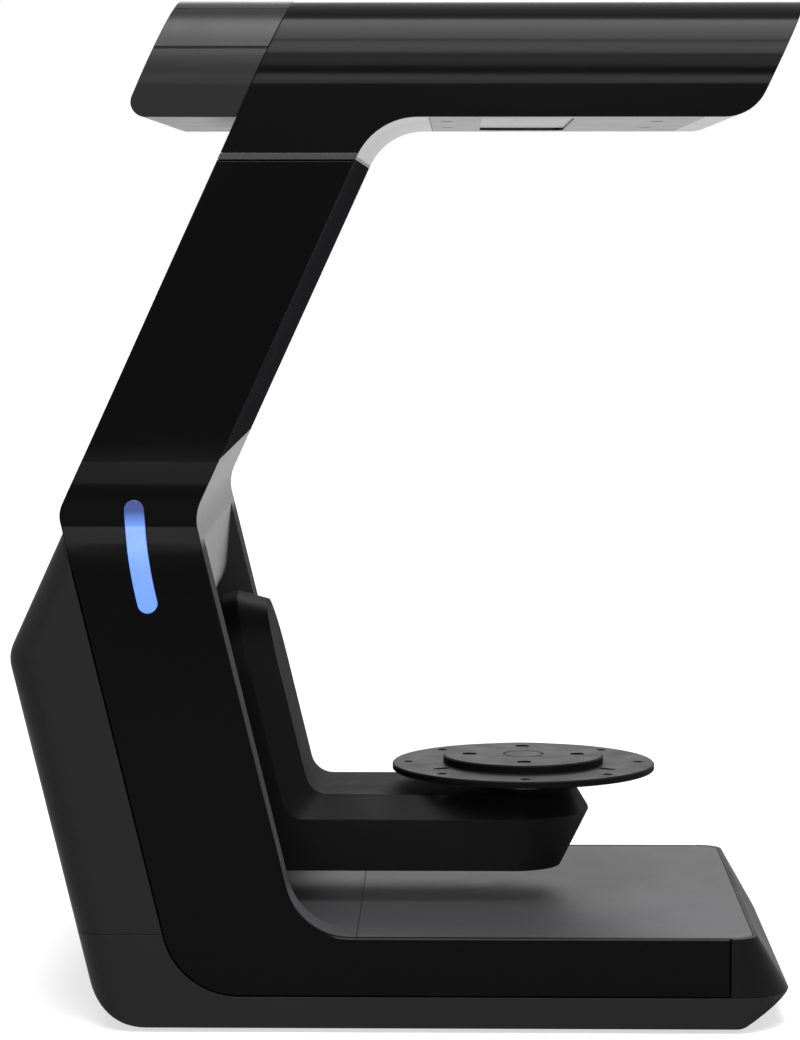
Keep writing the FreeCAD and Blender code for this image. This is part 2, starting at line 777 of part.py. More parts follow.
def column_front_cover():
    base = float(BASE_TOP)
    wall = float(WALL)
    split = ARM_SPLIT - float(SEAM)
    skin = wall / COLUMN_COS
    deep = (float(CHANNEL_DEPTH) + wall) / COLUMN_COS
    floor = channel_floor()
    front_edge = FOOT_PLATE_Y + float(SEAM)
    outline = [(front_edge, base),
               (float(size("column_foot_y")), base, FOOT_RADIUS),
               (BEND[0], BEND[1], BEND_RADIUS),
               (arm_front(split), split),
               (arm_front(split) + skin + 0.2, split),
               (BEND[0] + skin + 0.4, BEND[1], BEND_RADIUS),
               (floor[1][0] + skin, floor[1][1] + 1.5, 22.0),
               (floor[2][0] + skin, floor[2][1] + 1.5, 20.0),
               (column_front(base - wall) + deep, base - wall),
               (front_edge, base - wall)]
    body = new_body("column_front_cover_body")
    pad_across(body, COVER_WIDTH, rounded_loop(outline))
    ahead = [(FOOT_PLATE_Y - 20, base), (floor[0][0] - 25, CHANNEL_START)]
    pocket_across(body, 2 * CHANNEL_HALF, rounded_loop(floor + ahead))
    high = BEND[1] - 8
    low = base + 24
    cavity = [(column_front(high) + skin, high), (column_front(low) + skin, low),
              (column_front(low) + 60, low), (column_front(high) + 60, high)]
    cavity_width = float(COVER_WIDTH) / 2 - wall - (float(CHANNEL_HALF) + wall)
    pocket(body, "YZ_Plane", CHANNEL_HALF + WALL, cavity_width, rounded_loop(cavity))
    pocket(body, "YZ_Plane", -(CHANNEL_HALF + WALL) - cavity_width, cavity_width, rounded_loop(cavity))
    hole = drill("column_front_cover_hole", 16.0, 20, Vector(0, 15, 0), COLUMN_FRAME, Vector(0, 1, 0))
    return keep(difference(body, hole), "column_front_cover")


BACK_EDGE_MARGIN = 6.0
VENT_RISE = -8.0
PORT_RISE = -50.0
DC_X = 46.0
USB_X = 66.0
BUTTON_X = 88.0


def column_rear_cover():
    low = float(REAR_SEAM + SEAM)
    gap = float(SEAM)
    outline = [(band_rear(low) + gap, low),
               (back(low), low),
               (BACK_BEND[0], BACK_BEND[1], BACK_CORNER_RADIUS),
               (BACK_TOP[0] + gap, BACK_TOP[1] - gap)]
    wall = float(WALL)
    hollow = shifted(outline, [-5.0, wall, wall, -5.0])

    def rear_solid(name, corners, inset):
        body = new_body(name)
        pad_across(body, WIDTH - 2 * inset, rounded_loop(corners))
        half = float(HALF_WIDTH) - float(inset)

        def back_edges(point, edge):
            behind = point.y > min(back(point.z), back_slope(point.z)) - BACK_EDGE_MARGIN
            return abs(abs(point.x) - half) < 0.01 and behind and edge.Length > 3

        round_edges(body, REAR_RADIUS - inset, back_edges)
        return body

    outer = rear_solid("column_rear_cover_outside", outline, 0.0)
    inner = rear_solid("column_rear_cover_inside", hollow, WALL)
    vents = new_body("column_rear_cover_vents", COLUMN_FRAME)
    slots = [box_loop(x, VENT_RISE, 3.0, 26.0, 1.45) for x in range(-84, 85, 7) if abs(x) > 30]
    pad(vents, "XZ_Plane", -94, 12, *slots)
    ports = new_body("column_rear_cover_ports", COLUMN_FRAME)
    pad(ports, "XZ_Plane", -94, 12, circle(DC_X, PORT_RISE, 5.7),
        box_loop(USB_X, PORT_RISE, 12.6, 11.4, 0.8), circle(BUTTON_X, PORT_RISE, 6.3))
    return keep(difference(outer, inner, vents, ports), "column_rear_cover")


# ---------------------------------------------------------------- base

TOP_CORNER_RADIUS = 10.0
TOP_COVER_FRONT_Y = -141.5
TOP_COVER_CORNER = 8.0

TRAY_SCREWS = [(x, y) for x in (-70.0, 70.0) for y in (-105.0, -20.0, 70.0)]
FEET = [(x, y) for x in (-86.0, 86.0) for y in (-106.0, 80.0)]

BALLAST = 4.0
PLATE_TOP = float(TRAY_BOTTOM + WALL + BALLAST)


def corner_cut(body, front_y, half, radius):
    """Rounds the two front corners of a body, seen from above."""
    low_y = front_y - 2
    centre_y = front_y + radius
    reach = radius * math.cos(math.radians(45))
    for sign in (-1, 1):
        centre_x = sign * (half - radius)
        side = sign * half
        loop = [Part.Arc(Vector(side, centre_y, 0), Vector(centre_x + sign * reach, centre_y - reach, 0),
                         Vector(centre_x, front_y, 0)),
                Part.LineSegment(Vector(centre_x, front_y, 0), Vector(centre_x, low_y, 0)),
                Part.LineSegment(Vector(centre_x, low_y, 0), Vector(side + sign * 2, low_y, 0)),
                Part.LineSegment(Vector(side + sign * 2, low_y, 0), Vector(side + sign * 2, centre_y, 0)),
                Part.LineSegment(Vector(side + sign * 2, centre_y, 0), Vector(side, centre_y, 0))]
        pocket(body, "XY_Plane", -5, 60, loop)


def nose_section(height, inset, rear):
    """Plan outline of the sloped front of the base at a height, its walls moved inward by inset."""
    low = float(TRAY_SEAM + SEAM)
    share = (height - low) / (float(BASE_TOP) - low)
    run = float(BASE_FRONT_Y) - float(NOSE_Y)
    slope = math.atan2(run, float(BASE_TOP) - low)
    front = float(NOSE_Y) + run * share + inset / math.cos(slope)
    radius = float(FRONT_RADIUS) + (TOP_CORNER_RADIUS - float(FRONT_RADIUS)) * share - inset
    half = float(HALF_WIDTH) - inset
    return rounded_loop([(-half, rear), (half, rear), (half, front, radius), (-half, front, radius)])


def nose_solid(name, low, high, inset, rear):
    body = new_body(name)
    sketches = [add_sketch(body, "XY_Plane", height, [nose_section(height, inset, rear)])
                for height in (low, high)]
    loft = body.newObject("PartDesign::AdditiveLoft", name + "_loft")
    loft.Profile = sketches[0]
    loft.Sections = sketches[1:]
    loft.Ruled = True
    body.Tip = loft
    return body


def top_plate_loop(half, front, rear, radius):
    """Plan outline of the base top, rounded at its two front corners."""
    return rounded_loop([(-half, front, radius), (half, front, radius), (half, rear), (-half, rear)])


def front_trim():
    low = float(TRAY_SEAM + SEAM)
    high = float(BASE_TOP)
    wall = float(WALL)
    start = PANEL_FRONT_Y - float(SEAM)
    outer = nose_solid("front_trim_outside", low, high, 0.0, start)
    inner = nose_solid("front_trim_inside", low + wall, high - wall, wall, start + 5)
    roof = new_body("front_trim_roof")
    half = float(COVER_WIDTH) / 2 + float(SEAM)
    pad(roof, "XY_Plane", BASE_TOP - WALL - 0.5, 6,
        top_plate_loop(half, TOP_COVER_FRONT_Y - 0.2, start + 1, TOP_COVER_CORNER + 0.2))
    return keep(difference(outer, inner, roof), "front_trim")


def base_top_cover():
    body = new_body("base_top_cover_body")
    half = float(COVER_WIDTH) / 2
    pad(body, "XY_Plane", BASE_TOP - WALL, WALL,
        top_plate_loop(half, TOP_COVER_FRONT_Y, FOOT_PLATE_Y, TOP_COVER_CORNER))
    rib = rectangle(-half + 6, half - 6, float(BASE_TOP) - 9, float(BASE_TOP - WALL) + 0.1)
    for y in (-110.0, -60.0, -10.0):
        pad(body, "XZ_Plane", -y, 2.0, rib)
    return keep(body, "base_top_cover")


def base_tray():
    low = float(TRAY_BOTTOM)
    seam = float(TRAY_SEAM)
    high = float(REAR_SEAM)
    outline = [(tray_front(low), low, 8.0),
               (back(low), low, TRAY_CORNER_RADIUS),
               (back(high), high),
               (band_rear(high) + float(SEAM), high),
               (band_rear(seam) + float(SEAM), seam, BAND_CORNER_RADIUS),
               (tray_front(seam), seam)]
    wall = float(WALL)
    inside = [(tray_front(low), low, 8.0),
              (back(low), low, TRAY_CORNER_RADIUS),
              (back(high + 10), high + 10),
              (tray_front(seam) + 1, high + 10),
              (tray_front(seam), seam)]
    hollow = shifted(inside, [wall, wall, -5.0, wall, wall])

    def tray_solid(name, corners, inset):
        side_view = new_body(name + "_side_view")
        pad_across(side_view, WIDTH - 2 * inset, rounded_loop(corners))
        half = float(HALF_WIDTH) - float(inset)
        corner_cut(side_view, float(NOSE_Y) + float(inset), half, float(FRONT_RADIUS) - float(inset))
        plan = new_body(name + "_plan", COLUMN_FRAME)
        depth = (back(0) - column_front(0)) * COLUMN_COS - float(inset)
        corner = float(REAR_RADIUS) - float(inset)
        pad(plan, "XY_Plane", -200, 200,
            rounded_loop([(-half, -260), (half, -260), (half, depth, corner), (-half, depth, corner)]))
        return common(name, side_view, plan)

    outer = tray_solid("base_tray_outside", outline, 0.0)
    inner = tray_solid("base_tray_inside", hollow, WALL)
    holes = new_body("base_tray_holes")
    pad(holes, "XY_Plane", 0, 8, *[circle(x, y, 1.7) for x, y in TRAY_SCREWS])
    sinks = new_body("base_tray_sinks")
    pad(sinks, "XY_Plane", 0, TRAY_BOTTOM + 1.4, *[circle(x, y, 3.3) for x, y in TRAY_SCREWS])
    return keep(difference(outer, inner, holes, sinks), "base_tray")


def rubber_feet():
    body = new_body("rubber_feet_body")
    pad(body, "XY_Plane", 0, TRAY_BOTTOM, *[circle(x, y, 10.0) for x, y in FEET])

    def lower_rim(point, edge):
        return abs(point.z) < 0.01

    bevel_edges(body, 0.5, lower_rim)
    return keep(body, "rubber_feet")


def base_plate():
    """Steel ballast on the floor of the tray, with a cable window and the threaded screw holes."""
    body = new_body("base_plate_body")
    pad(body, "XY_Plane", TRAY_BOTTOM + WALL, BALLAST, rectangle(-96, 96, -122, 98, 8.0),
        *[circle(x, y, 1.3) for x, y in TRAY_SCREWS], box_loop(0, -5, 60, 40, 8))
    return keep(body, "base_plate")


# ---------------------------------------------------------------- inner frame

FRAME_FRONT = 42.0
FRAME_REAR = 47.0


def column_frame():
    front = FRAME_FRONT / COLUMN_COS
    rear = FRAME_REAR / COLUMN_COS
    high = 206.0
    flange = PLATE_TOP + 5
    outline = [(44, PLATE_TOP), (column_front(PLATE_TOP) + rear, PLATE_TOP),
               (column_front(high) + rear, high), (column_front(high) + front, high),
               (column_front(flange) + front, flange, 5.0), (44, flange)]
    body = new_body("column_frame_body")
    pad_across(body, 160, rounded_loop(outline))
    cutters = [drill("column_frame_shaft_hole", 9.0, 20, Vector(0, 35, 0), COLUMN_FRAME, Vector(0, 1, 0)),
               drill("column_frame_motor_hole", 11.1, 20, Vector(0, 35, -float(size("swing_belt_centres"))),
                     COLUMN_FRAME, Vector(0, 1, 0))]
    for sign in (-1, 1):
        cutters.append(drill(f"column_frame_cable_hole_{sign + 1}", 12.0, 20, Vector(sign * 55, 35, 40),
                             COLUMN_FRAME, Vector(0, 1, 0)))
    return keep(difference(body, *cutters), "column_frame")


def arm_beam():
    rear_run = 15.0
    front_run = rear_run + 26.4
    lean = float(FRAME_FRONT) / COLUMN_COS - 0.02

    def plate_line(height):
        return column_front(height) + lean

    low = meeting(plate_line, lambda z: arm_rear(z) - front_run)
    high = meeting(plate_line, lambda z: arm_rear(z) - rear_run)
    top = float(BENCH)
    outline = [low, high, (arm_rear(top) - rear_run, top), (arm_rear(top) - front_run, top)]
    body = new_body("arm_beam_body")
    pad_across(body, 90, rounded_loop(outline))
    pocket_across(body, 84, rounded_loop(shifted(outline, [-5, 3, -5, 3])))
    return keep(body, "arm_beam")


def optics_bench():
    body = new_body("optics_bench_body")
    pad(body, "XY_Plane", BENCH, 4.0, rectangle(-94, 94, -112, 46, 10.0),
        box_loop(0, -88, 60, 14, 4), box_loop(0, 26, 70, 14, 4))
    pad(body, "XY_Plane", HEAD_BOTTOM + WALL, BENCH - HEAD_BOTTOM - WALL,
        *[circle(x, y, 4.5) for x, y in HEAD_SCREWS])
    pocket(body, "XY_Plane", HEAD_BOTTOM + WALL - 1, 12, *[circle(x, y, 1.3) for x, y in HEAD_SCREWS])
    for sign in (-1, 1):
        inner = camera_point(sign, 14.0, 0.0)
        outer = camera_point(sign, -14.0, 0.0)
        wedge = [(inner.x, inner.z), (outer.x, outer.z), (outer.x, float(BENCH)), (inner.x, float(BENCH))]
        pad(body, "XZ_Plane", -float(SPIN_Y) - 12, 24.0, rounded_loop(wedge))
    return keep(body, "optics_bench")


def camera_frame(sign):
    """Frame of one camera: origin in the middle of its back, +Z up along its axis."""
    tilt = Rotation(Vector(0, 1, 0), sign * float(size("camera_tilt")))
    return Placement(Vector(sign * float(size("camera_spread")), float(SPIN_Y), 400.2), tilt)


def camera_point(sign, inward, rise):
    return camera_frame(sign).multVec(Vector(-sign * inward, 0, rise))


def camera(side, sign):
    body = new_body(f"camera_{side}_body", camera_frame(sign))
    pad(body, "XY_Plane", -8, 8.0, box_loop(0, 0, 28, 28, 2.0))
    pad(body, "XY_Plane", -12, 4.0, circle(0, 0, 11.0))
    return keep(body, f"camera_{side}")


def camera_lens(side, sign):
    frame = camera_frame(sign)
    body = turned(f"camera_lens_{side}_body", "XZ_Plane",
                  [(0, -21.0), (5.5, -21.0), (6.5, -22.0), (9.0, -22.0), (9.0, -16.0), (8.0, -15.5),
                   (8.0, -12.0), (0, -12.0)], frame)
    return keep(body, f"camera_lens_{side}")


def projector_body():
    body = new_body("projector_body_body")
    y = float(SPIN_Y)
    pad(body, "XY_Plane", BENCH - 23, 23.0, rectangle(-28, 28, y - 28, y + 29, 3.0))
    pad(body, "XY_Plane", BENCH - 25, 2.0, circle(0, y, 15.0))
    return keep(body, "projector_body")


def projector_lens():
    low = float(BENCH) - 25
    profile = [(0, low - 3.6), (8.0, low - 3.6), (9.0, low - 5.0), (11.5, low - 5.0), (11.5, low), (0, low)]
    return keep(turned("projector_lens_body", "XZ_Plane", profile, SPIN_FRAME), "projector_lens")


def projector_heat_sink():
    body = new_body("projector_heat_sink_body")
    start = float(SPIN_Y) + 29
    pad(body, "XY_Plane", BENCH - 22, 20.0, rectangle(-27, 27, start, start + 3.5))
    fins = [rectangle(x - 0.6, x + 0.6, start + 3.4, start + 24) for x in range(-26, 27, 4)]
    pad(body, "XY_Plane", BENCH - 22, 20.0, *fins)
    return keep(body, "projector_heat_sink")


# ---------------------------------------------------------------- fan

FAN_Y = 74.0
FAN_Z = 394.7
FAN_DEPTH = 10.0


def fan_frame():
    body = new_body("fan_frame_body")
    pad(body, "XZ_Plane", -FAN_Y - FAN_DEPTH, FAN_DEPTH,
        box_loop(0, FAN_Z, 40, 40, 3.0), circle(0, FAN_Z, 19.0))
    pad(body, "XZ_Plane", -FAN_Y - FAN_DEPTH, 1.4, circle(0, FAN_Z, 8.5))
    for angle in (90, 210, 330):
        direction = Vector(math.cos(math.radians(angle)), math.sin(math.radians(angle)), 0)
        side = Vector(-direction.y, direction.x, 0)
        start = Vector(0, FAN_Z, 0) + direction * 8
        end = Vector(0, FAN_Z, 0) + direction * 19.3
        corners = [start + side, end + side, end - side, start - side]
        pad(body, "XZ_Plane", -FAN_Y - FAN_DEPTH, 1.4, rounded_loop([(c.x, c.y) for c in corners]))
    pocket(body, "XZ_Plane", -FAN_Y - FAN_DEPTH - 1, 12,
           *[circle(x, FAN_Z + z, 1.7) for x in (-16, 16) for z in (-16, 16)])
    return keep(body, "fan_frame")


def fan_rotor():
    """Hub and seven raked blades, turning about Y; drawn about Z and laid over."""
    frame = Placement(Vector(0, FAN_Y + 1.0, FAN_Z), Rotation(Vector(1, 0, 0), -90))
    body = new_body("fan_rotor_body", frame)
    pad(body, "XY_Plane", 0, 7.0, circle(0, 0, 9.0))
    blade = pad(body, "XY_Plane", 0.3, 6.2,
                rounded_loop([(8.6, -1.0), (17.5, 4.2), (17.6, 5.6), (8.6, 0.6)]))
    spun(body, 7, blade)
    return keep(body, "fan_rotor")


# ---------------------------------------------------------------- boards and sockets

BOARD = 1.6
BOARD_LOW = 15.0
BOARD_HOLES = [(x, y) for x in (-54.0, 54.0) for y in (-94.0, -30.0)]


def main_board():
    body = new_body("main_board_body")
    pad(body, "XY_Plane", BOARD_LOW, BOARD, rectangle(-60, 60, -100, -24, 3.0),
        *[circle(x, y, 1.6) for x, y in BOARD_HOLES])
    processor = box_loop(-20, -60, 18, 18, 0.5)
    memory = box_loop(14, -58, 12, 12, 0.5)
    driver = box_loop(38, -70, 8, 12, 0.3)
    pad(body, "XY_Plane", BOARD_LOW + BOARD, 1.4, processor, memory, driver)
    cable_sockets = [box_loop(0, -29, 40, 6, 0.3), box_loop(-48, -62, 6, 30, 0.3)]
    pad(body, "XY_Plane", BOARD_LOW + BOARD, 6.5, *cable_sockets)
    return keep(body, "main_board")


def board_spacers():
    body = new_body("board_spacers_body")
    pad(body, "XY_Plane", PLATE_TOP, BOARD_LOW - PLATE_TOP, *[circle(x, y, 3.0) for x, y in BOARD_HOLES])
    pad(body, "XY_Plane", PLATE_TOP, BOARD_LOW - PLATE_TOP + BOARD,
        *[circle(x, y, 1.5) for x, y in BOARD_HOLES])
    return keep(body, "board_spacers")


IO_FRONT = 70.0
IO_REAR = IO_FRONT + BOARD
PORT_MOUTH = 88.3


def io_board():
    body = new_body("io_board_body", COLUMN_FRAME)
    pad(body, "XZ_Plane", -IO_REAR, BOARD, rectangle(36, 97, PORT_RISE - 13, PORT_RISE + 13, 2.0))
    pad(body, "XZ_Plane", -IO_FRONT, IO_FRONT - FRAME_REAR, circle(40, PORT_RISE - 9, 2.8),
        circle(75, PORT_RISE - 9, 2.8), circle(40, PORT_RISE + 9, 2.8), circle(75, PORT_RISE + 9, 2.8))
    return keep(body, "io_board")


def dc_inlet():
    """Barrel socket: a square block with a round collar, a bore and its centre pin."""
    shoulder = 83.0
    body = new_body("dc_inlet_body", COLUMN_FRAME)
    pad(body, "XZ_Plane", -shoulder, shoulder - IO_REAR, box_loop(DC_X, PORT_RISE, 12, 12, 0.6))
    pad(body, "XZ_Plane", -PORT_MOUTH, PORT_MOUTH - shoulder + 0.1, circle(DC_X, PORT_RISE, 5.4))
    pocket(body, "XZ_Plane", -PORT_MOUTH - 1, 11.0, circle(DC_X, PORT_RISE, 3.2))
    pad(body, "XZ_Plane", -PORT_MOUTH + 1.2, 10.0, circle(DC_X, PORT_RISE, 1.0))
    return keep(body, "dc_inlet")


def usb_port():
    body = new_body("usb_port_body", COLUMN_FRAME)
    pad(body, "XZ_Plane", -PORT_MOUTH, PORT_MOUTH - IO_REAR, box_loop(USB_X, PORT_RISE, 12.0, 10.8, 0.6))
    pocket(body, "XZ_Plane", -PORT_MOUTH - 1, 10.0, box_loop(USB_X, PORT_RISE, 8.6, 7.8, 0.6))
    pad(body, "XZ_Plane", -PORT_MOUTH + 1.4, 8.0, box_loop(USB_X, PORT_RISE + 0.5, 5.6, 3.0, 0.2))
    return keep(body, "usb_port")


def power_switch():
    height = 4.0
    body = new_body("power_switch_body", COLUMN_FRAME)
    pad(body, "XZ_Plane", -IO_REAR - height, height, box_loop(BUTTON_X, PORT_RISE, 6.2, 6.2, 0.4))
    return keep(body, "power_switch")


def power_button():
    """A stem on the switch, a collar that holds the button in, and the button's face."""
    frame = COLUMN_FRAME.multiply(Placement(Vector(BUTTON_X, 0, PORT_RISE), Rotation()))
    stem, collar, face = 1.6, 7.6, 5.9
    profile = [(0, 77.6), (stem, 77.6), (stem, 83.8), (collar, 83.8), (collar, 85.6), (face, 85.6),
               (face, 89.2, 0.8), (0, 89.6)]
    return keep(turned("power_button_body", "XY_Plane", profile, frame), "power_button")


def led_boards():
    body = new_body("led_boards_body")
    outline = rounded_loop([(104, 170, 1), (114, 216, 1), (104, 217, 1), (96, 170, 1)])
    pad(body, "YZ_Plane", HALF_WIDTH - PANEL - 1.8, 1.6, outline)
    pad(body, "YZ_Plane", -HALF_WIDTH + PANEL + 0.2, 1.6, outline)
    return keep(body, "led_boards")


# ---------------------------------------------------------------- swing drive

PULLEY_LOW = 29.0
PULLEY_FLANGE = 1.4
PULLEY_TOOTH = 7.0
PULLEY_FIT = 0.03
MOTOR_SHAFT = 2.5


def pulley_profile(radius, bore, low, flange_reach=1.9):
    high = low + 2 * PULLEY_FLANGE + PULLEY_TOOTH
    wide = radius + flange_reach
    return [(bore, low), (wide, low), (wide, low + PULLEY_FLANGE), (radius, low + PULLEY_FLANGE),
            (radius, high - PULLEY_FLANGE), (wide, high - PULLEY_FLANGE), (wide, high), (bore, high)]


def belt(label, plane, start, low_place, low_radius, high_place, high_radius, frame):
    """A smooth belt round two pulleys, one above the other in its sketch."""
    gap = float(size("belt_gap"))
    thick = float(size("belt_thickness"))
    body = new_body(label + "_body", frame)
    inside = belt_loop(low_place, low_radius + gap, high_place, high_radius + gap)
    outside = belt_loop(low_place, low_radius + gap + thick, high_place, high_radius + gap + thick)
    pad(body, plane, start, size("belt_width"), outside, inside)
    return keep(body, label)


def swing_bearing_housing():
    """A flanged tube on the frame with a bearing seat at each end."""
    seat = 11.02
    profile = [(8.0, FRAME_REAR), (30.0, FRAME_REAR), (30.0, 51.0), (16.0, 51.0, 2.0), (16.0, 78.0),
               (seat, 78.0), (seat, 71.0), (9.0, 71.0), (9.0, 54.5), (seat, 54.5), (seat, 48.5), (8.0, 48.5)]
    body = turned("swing_bearing_housing_body", "XY_Plane", profile, COLUMN_FRAME)
    return keep(body, "swing_bearing_housing")


def bearing_pair(label, plane, bore, outer, width, lows, frame):
    """Two bearings on one axis, drawn as closed rings with a shallow groove on each face."""
    body = new_body(label + "_body", frame)
    inner = float(bore)
    groove_low = (inner + outer) / 2 - 1.2
    groove_high = (inner + outer) / 2 + 1.2
    for low in lows:
        high = low + width
        ring = [(inner, low), (groove_low, low), (groove_low, low + 0.5), (groove_high, low + 0.5),
                (groove_high, low), (outer, low), (outer, high), (groove_high, high),
                (groove_high, high - 0.5), (groove_low, high - 0.5), (groove_low, high), (inner, high)]
        feature = body.newObject("PartDesign::Revolution", label + "_turn")
        sketch = add_sketch(body, plane, 0, [rounded_loop(ring)])
        feature.Profile = sketch
        feature.ReferenceAxis = (sketch, ["V_Axis"])
        feature.Angle = 360
        body.Tip = feature
    return keep(body, label)


def swing_shaft():
    """Shaft with the hub that fills the arm's rear opening and a flange inside its wall."""
    radius = float(SHAFT)
    flange = 18.0
    neck = 13.5
    end = 79.0
    wall_inside = float(ARM_REAR_FACE) - float(WALL)
    profile = [(0, wall_inside - 4), (flange, wall_inside - 4), (flange, wall_inside), (neck, wall_inside),
               (neck, PULLEY_LOW), (radius, PULLEY_LOW), (radius, end, 0.6), (0, end)]
    return keep(turned("swing_shaft_body", "XY_Plane", profile, COLUMN_FRAME), "swing_shaft")


def swing_driven_pulley():
    profile = pulley_profile(float(size("swing_pulley_radius")), float(SHAFT) + PULLEY_FIT, PULLEY_LOW)
    return keep(turned("swing_driven_pulley_body", "XY_Plane", profile, COLUMN_FRAME), "swing_driven_pulley")


def swing_motor():
    centre = -float(size("swing_belt_centres"))
    body = new_body("swing_motor_body", COLUMN_FRAME)
    pad(body, "XZ_Plane", -83.0, 36.0, box_loop(0, centre, 42.0, 42.0, 4.0))
    pad(body, "XZ_Plane", -FRAME_REAR, 2.0, circle(0, centre, 11.0))
    pocket(body, "XZ_Plane", -65.0, 30.0, circle(0, centre, MOTOR_SHAFT + RUNNING))
    return keep(body, "swing_motor")


def swing_motor_pulley():
    """Motor pulley with the motor's own shaft in it."""
    end = 64.5
    profile = pulley_profile(float(size("swing_motor_pulley_radius")), 0, PULLEY_LOW)[:-1]
    profile += [(MOTOR_SHAFT, PULLEY_LOW + 2 * PULLEY_FLANGE + PULLEY_TOOTH), (MOTOR_SHAFT, end), (0, end)]
    frame = COLUMN_FRAME.multiply(Placement(Vector(0, 0, -float(size("swing_belt_centres"))), Rotation()))
    return keep(turned("swing_motor_pulley_body", "XY_Plane", profile, frame), "swing_motor_pulley")


# ---------------------------------------------------------------- swing arm

REAR_BEVEL = 10.0

FOOT_REAR_Y = 58.0
HEEL_RADIUS = 15.0
ELBOW_RADIUS = 10.0
ELBOW_REACH = 9.0
ELBOW_SKIN = 1.5

ARM_SCREWS = [(x, y) for x in (-29.0, 29.0) for y in (-38.0, 40.0)]


def upright(name, inset):
    """The leaning leg of the swing arm: a bar with sloped shoulders and a rounded top."""
    body = new_body(name, COLUMN_FRAME)
    wide = float(ARM_HALF) - inset
    narrow = float(ARM_FACE) - inset
    low = -97.0
    rear = float(ARM_REAR_FACE) - inset
    levels = [(-rear, wide - REAR_BEVEL), (REAR_BEVEL - rear, wide), (float(size("arm_widest")), wide),
              (float(size("arm_front_face")) - inset, narrow)]
    sketches = []
    for level, half in levels:
        corners = [(-half, low), (half, low), (half, half, half - 4), (-half, half, half - 4)]
        sketches.append(add_sketch(body, "XZ_Plane", level, [rounded_loop(corners)]))
    loft = body.newObject("PartDesign::AdditiveLoft", name + "_loft")
    loft.Profile = sketches[0]
    loft.Sections = sketches[1:]
    loft.Ruled = True
    body.Tip = loft
    return body


def foot(name, inset, low):
    """The level leg of the swing arm, with a round end that narrows downward."""
    body = new_body(name)
    wide = float(ARM_HALF) - inset
    narrow = float(ARM_FACE) - inset
    end = float(size("foot_end_y")) + inset
    levels = [(low, wide, end + 12.5, 21.0), (float(size("foot_widest")), wide, end, wide - 4),
              (float(FOOT_TOP) - inset, narrow, end + 6.0, narrow - 4)]
    sketches = []
    for level, half, front, radius in levels:
        corners = [(-half, FOOT_REAR_Y), (half, FOOT_REAR_Y), (half, front, radius), (-half, front, radius)]
        sketches.append(add_sketch(body, "XY_Plane", level, [rounded_loop(corners)]))
    loft = body.newObject("PartDesign::AdditiveLoft", name + "_loft")
    loft.Profile = sketches[0]
    loft.Sections = sketches[1:]
    loft.Ruled = True
    body.Tip = loft
    return body


def swing_arm_solid(name, inset, low):
    """Upright and foot in one, kept inside the L seen from the side."""
    both = doc.addObject("Part::Fuse", name + "_legs")
    both.Base = upright(name + "_upright", inset)
    both.Tool = foot(name + "_foot", inset, low)
    rear = float(ARM_REAR_FACE) - inset
    high = column_point(rear, 70.0)
    heel_rise = (low - column_point(rear, 0)[1]) / COLUMN_COS
    heel = column_point(rear, heel_rise)
    outline = [(-100, low), (heel[0], heel[1], HEEL_RADIUS - inset), high, (-100, high[1])]
    envelope = new_body(name + "_envelope")
    pad_across(envelope, 120, rounded_loop(outline))
    return common(name, both, envelope)


def elbow_section(front, top):
    """A thin band along the front of the upright and the top of the foot, rounded where they meet."""
    rise = (top - column_point(-front, 0)[1]) / COLUMN_COS
    corner = column_point(-front, rise)
    high = column_point(-front, rise + ELBOW_REACH)
    high_inside = column_point(-front + ELBOW_SKIN, rise + ELBOW_REACH)
    end = corner[0] - ELBOW_REACH
    return rounded_loop([high, (*corner, ELBOW_RADIUS), (end, top), (end, top - ELBOW_SKIN),
                         (corner[0] + ELBOW_SKIN, top - ELBOW_SKIN), high_inside])


def elbow():
    """Fills the hollow corner between upright and foot, over the flat faces and both shoulders."""
    body = new_body("swing_arm_elbow")
    flat = elbow_section(float(size("arm_front_face")), float(FOOT_TOP))
    widest = elbow_section(float(size("arm_widest")), float(size("foot_widest")))
    levels = [(-ARM_HALF, widest), (-ARM_FACE, flat), (ARM_FACE, flat), (ARM_HALF, widest)]
    sketches = [add_sketch(body, "YZ_Plane", level, [loop]) for level, loop in levels]
    loft = body.newObject("PartDesign::AdditiveLoft", "swing_arm_elbow_loft")
    loft.Profile = sketches[0]
    loft.Sections = sketches[1:]
    loft.Ruled = True
    body.Tip = loft
    return body


def swing_arm_shell():
    outer = doc.addObject("Part::Fuse", "swing_arm_outside_elbow")
    outer.Base = swing_arm_solid("swing_arm_outside", 0.0, float(FOOT_BOTTOM))
    outer.Tool = elbow()
    outer.Refine = True
    inner = swing_arm_solid("swing_arm_inside", float(WALL), float(FOOT_BOTTOM) - 1.5)
    hub_hole = drill("swing_arm_hub_hole", 16.5, 12, Vector(0, float(SPIN_Y), 78))
    shaft_hole = drill("swing_arm_shaft_hole", 13.55, 12, Vector(0, 8, 0), COLUMN_FRAME, Vector(0, 1, 0))
    return keep(difference(outer, inner, hub_hole, shaft_hole), "swing_arm_shell")


def swing_arm_bottom_cover():
    body = new_body("swing_arm_bottom_cover_body")
    half = float(ARM_HALF) - float(WALL) - 0.3
    front = float(size("foot_end_y")) + 12.5 + float(WALL) + 0.6
    pad(body, "XY_Plane", FOOT_BOTTOM, WALL,
        rounded_loop([(-half, 48.5), (half, 48.5), (half, front, 21.5), (-half, front, 21.5)]),
        *[circle(x, y, 1.5) for x, y in ARM_SCREWS])
    return keep(body, "swing_arm_bottom_cover")


SPIN_PULLEY_LOW = 70.2

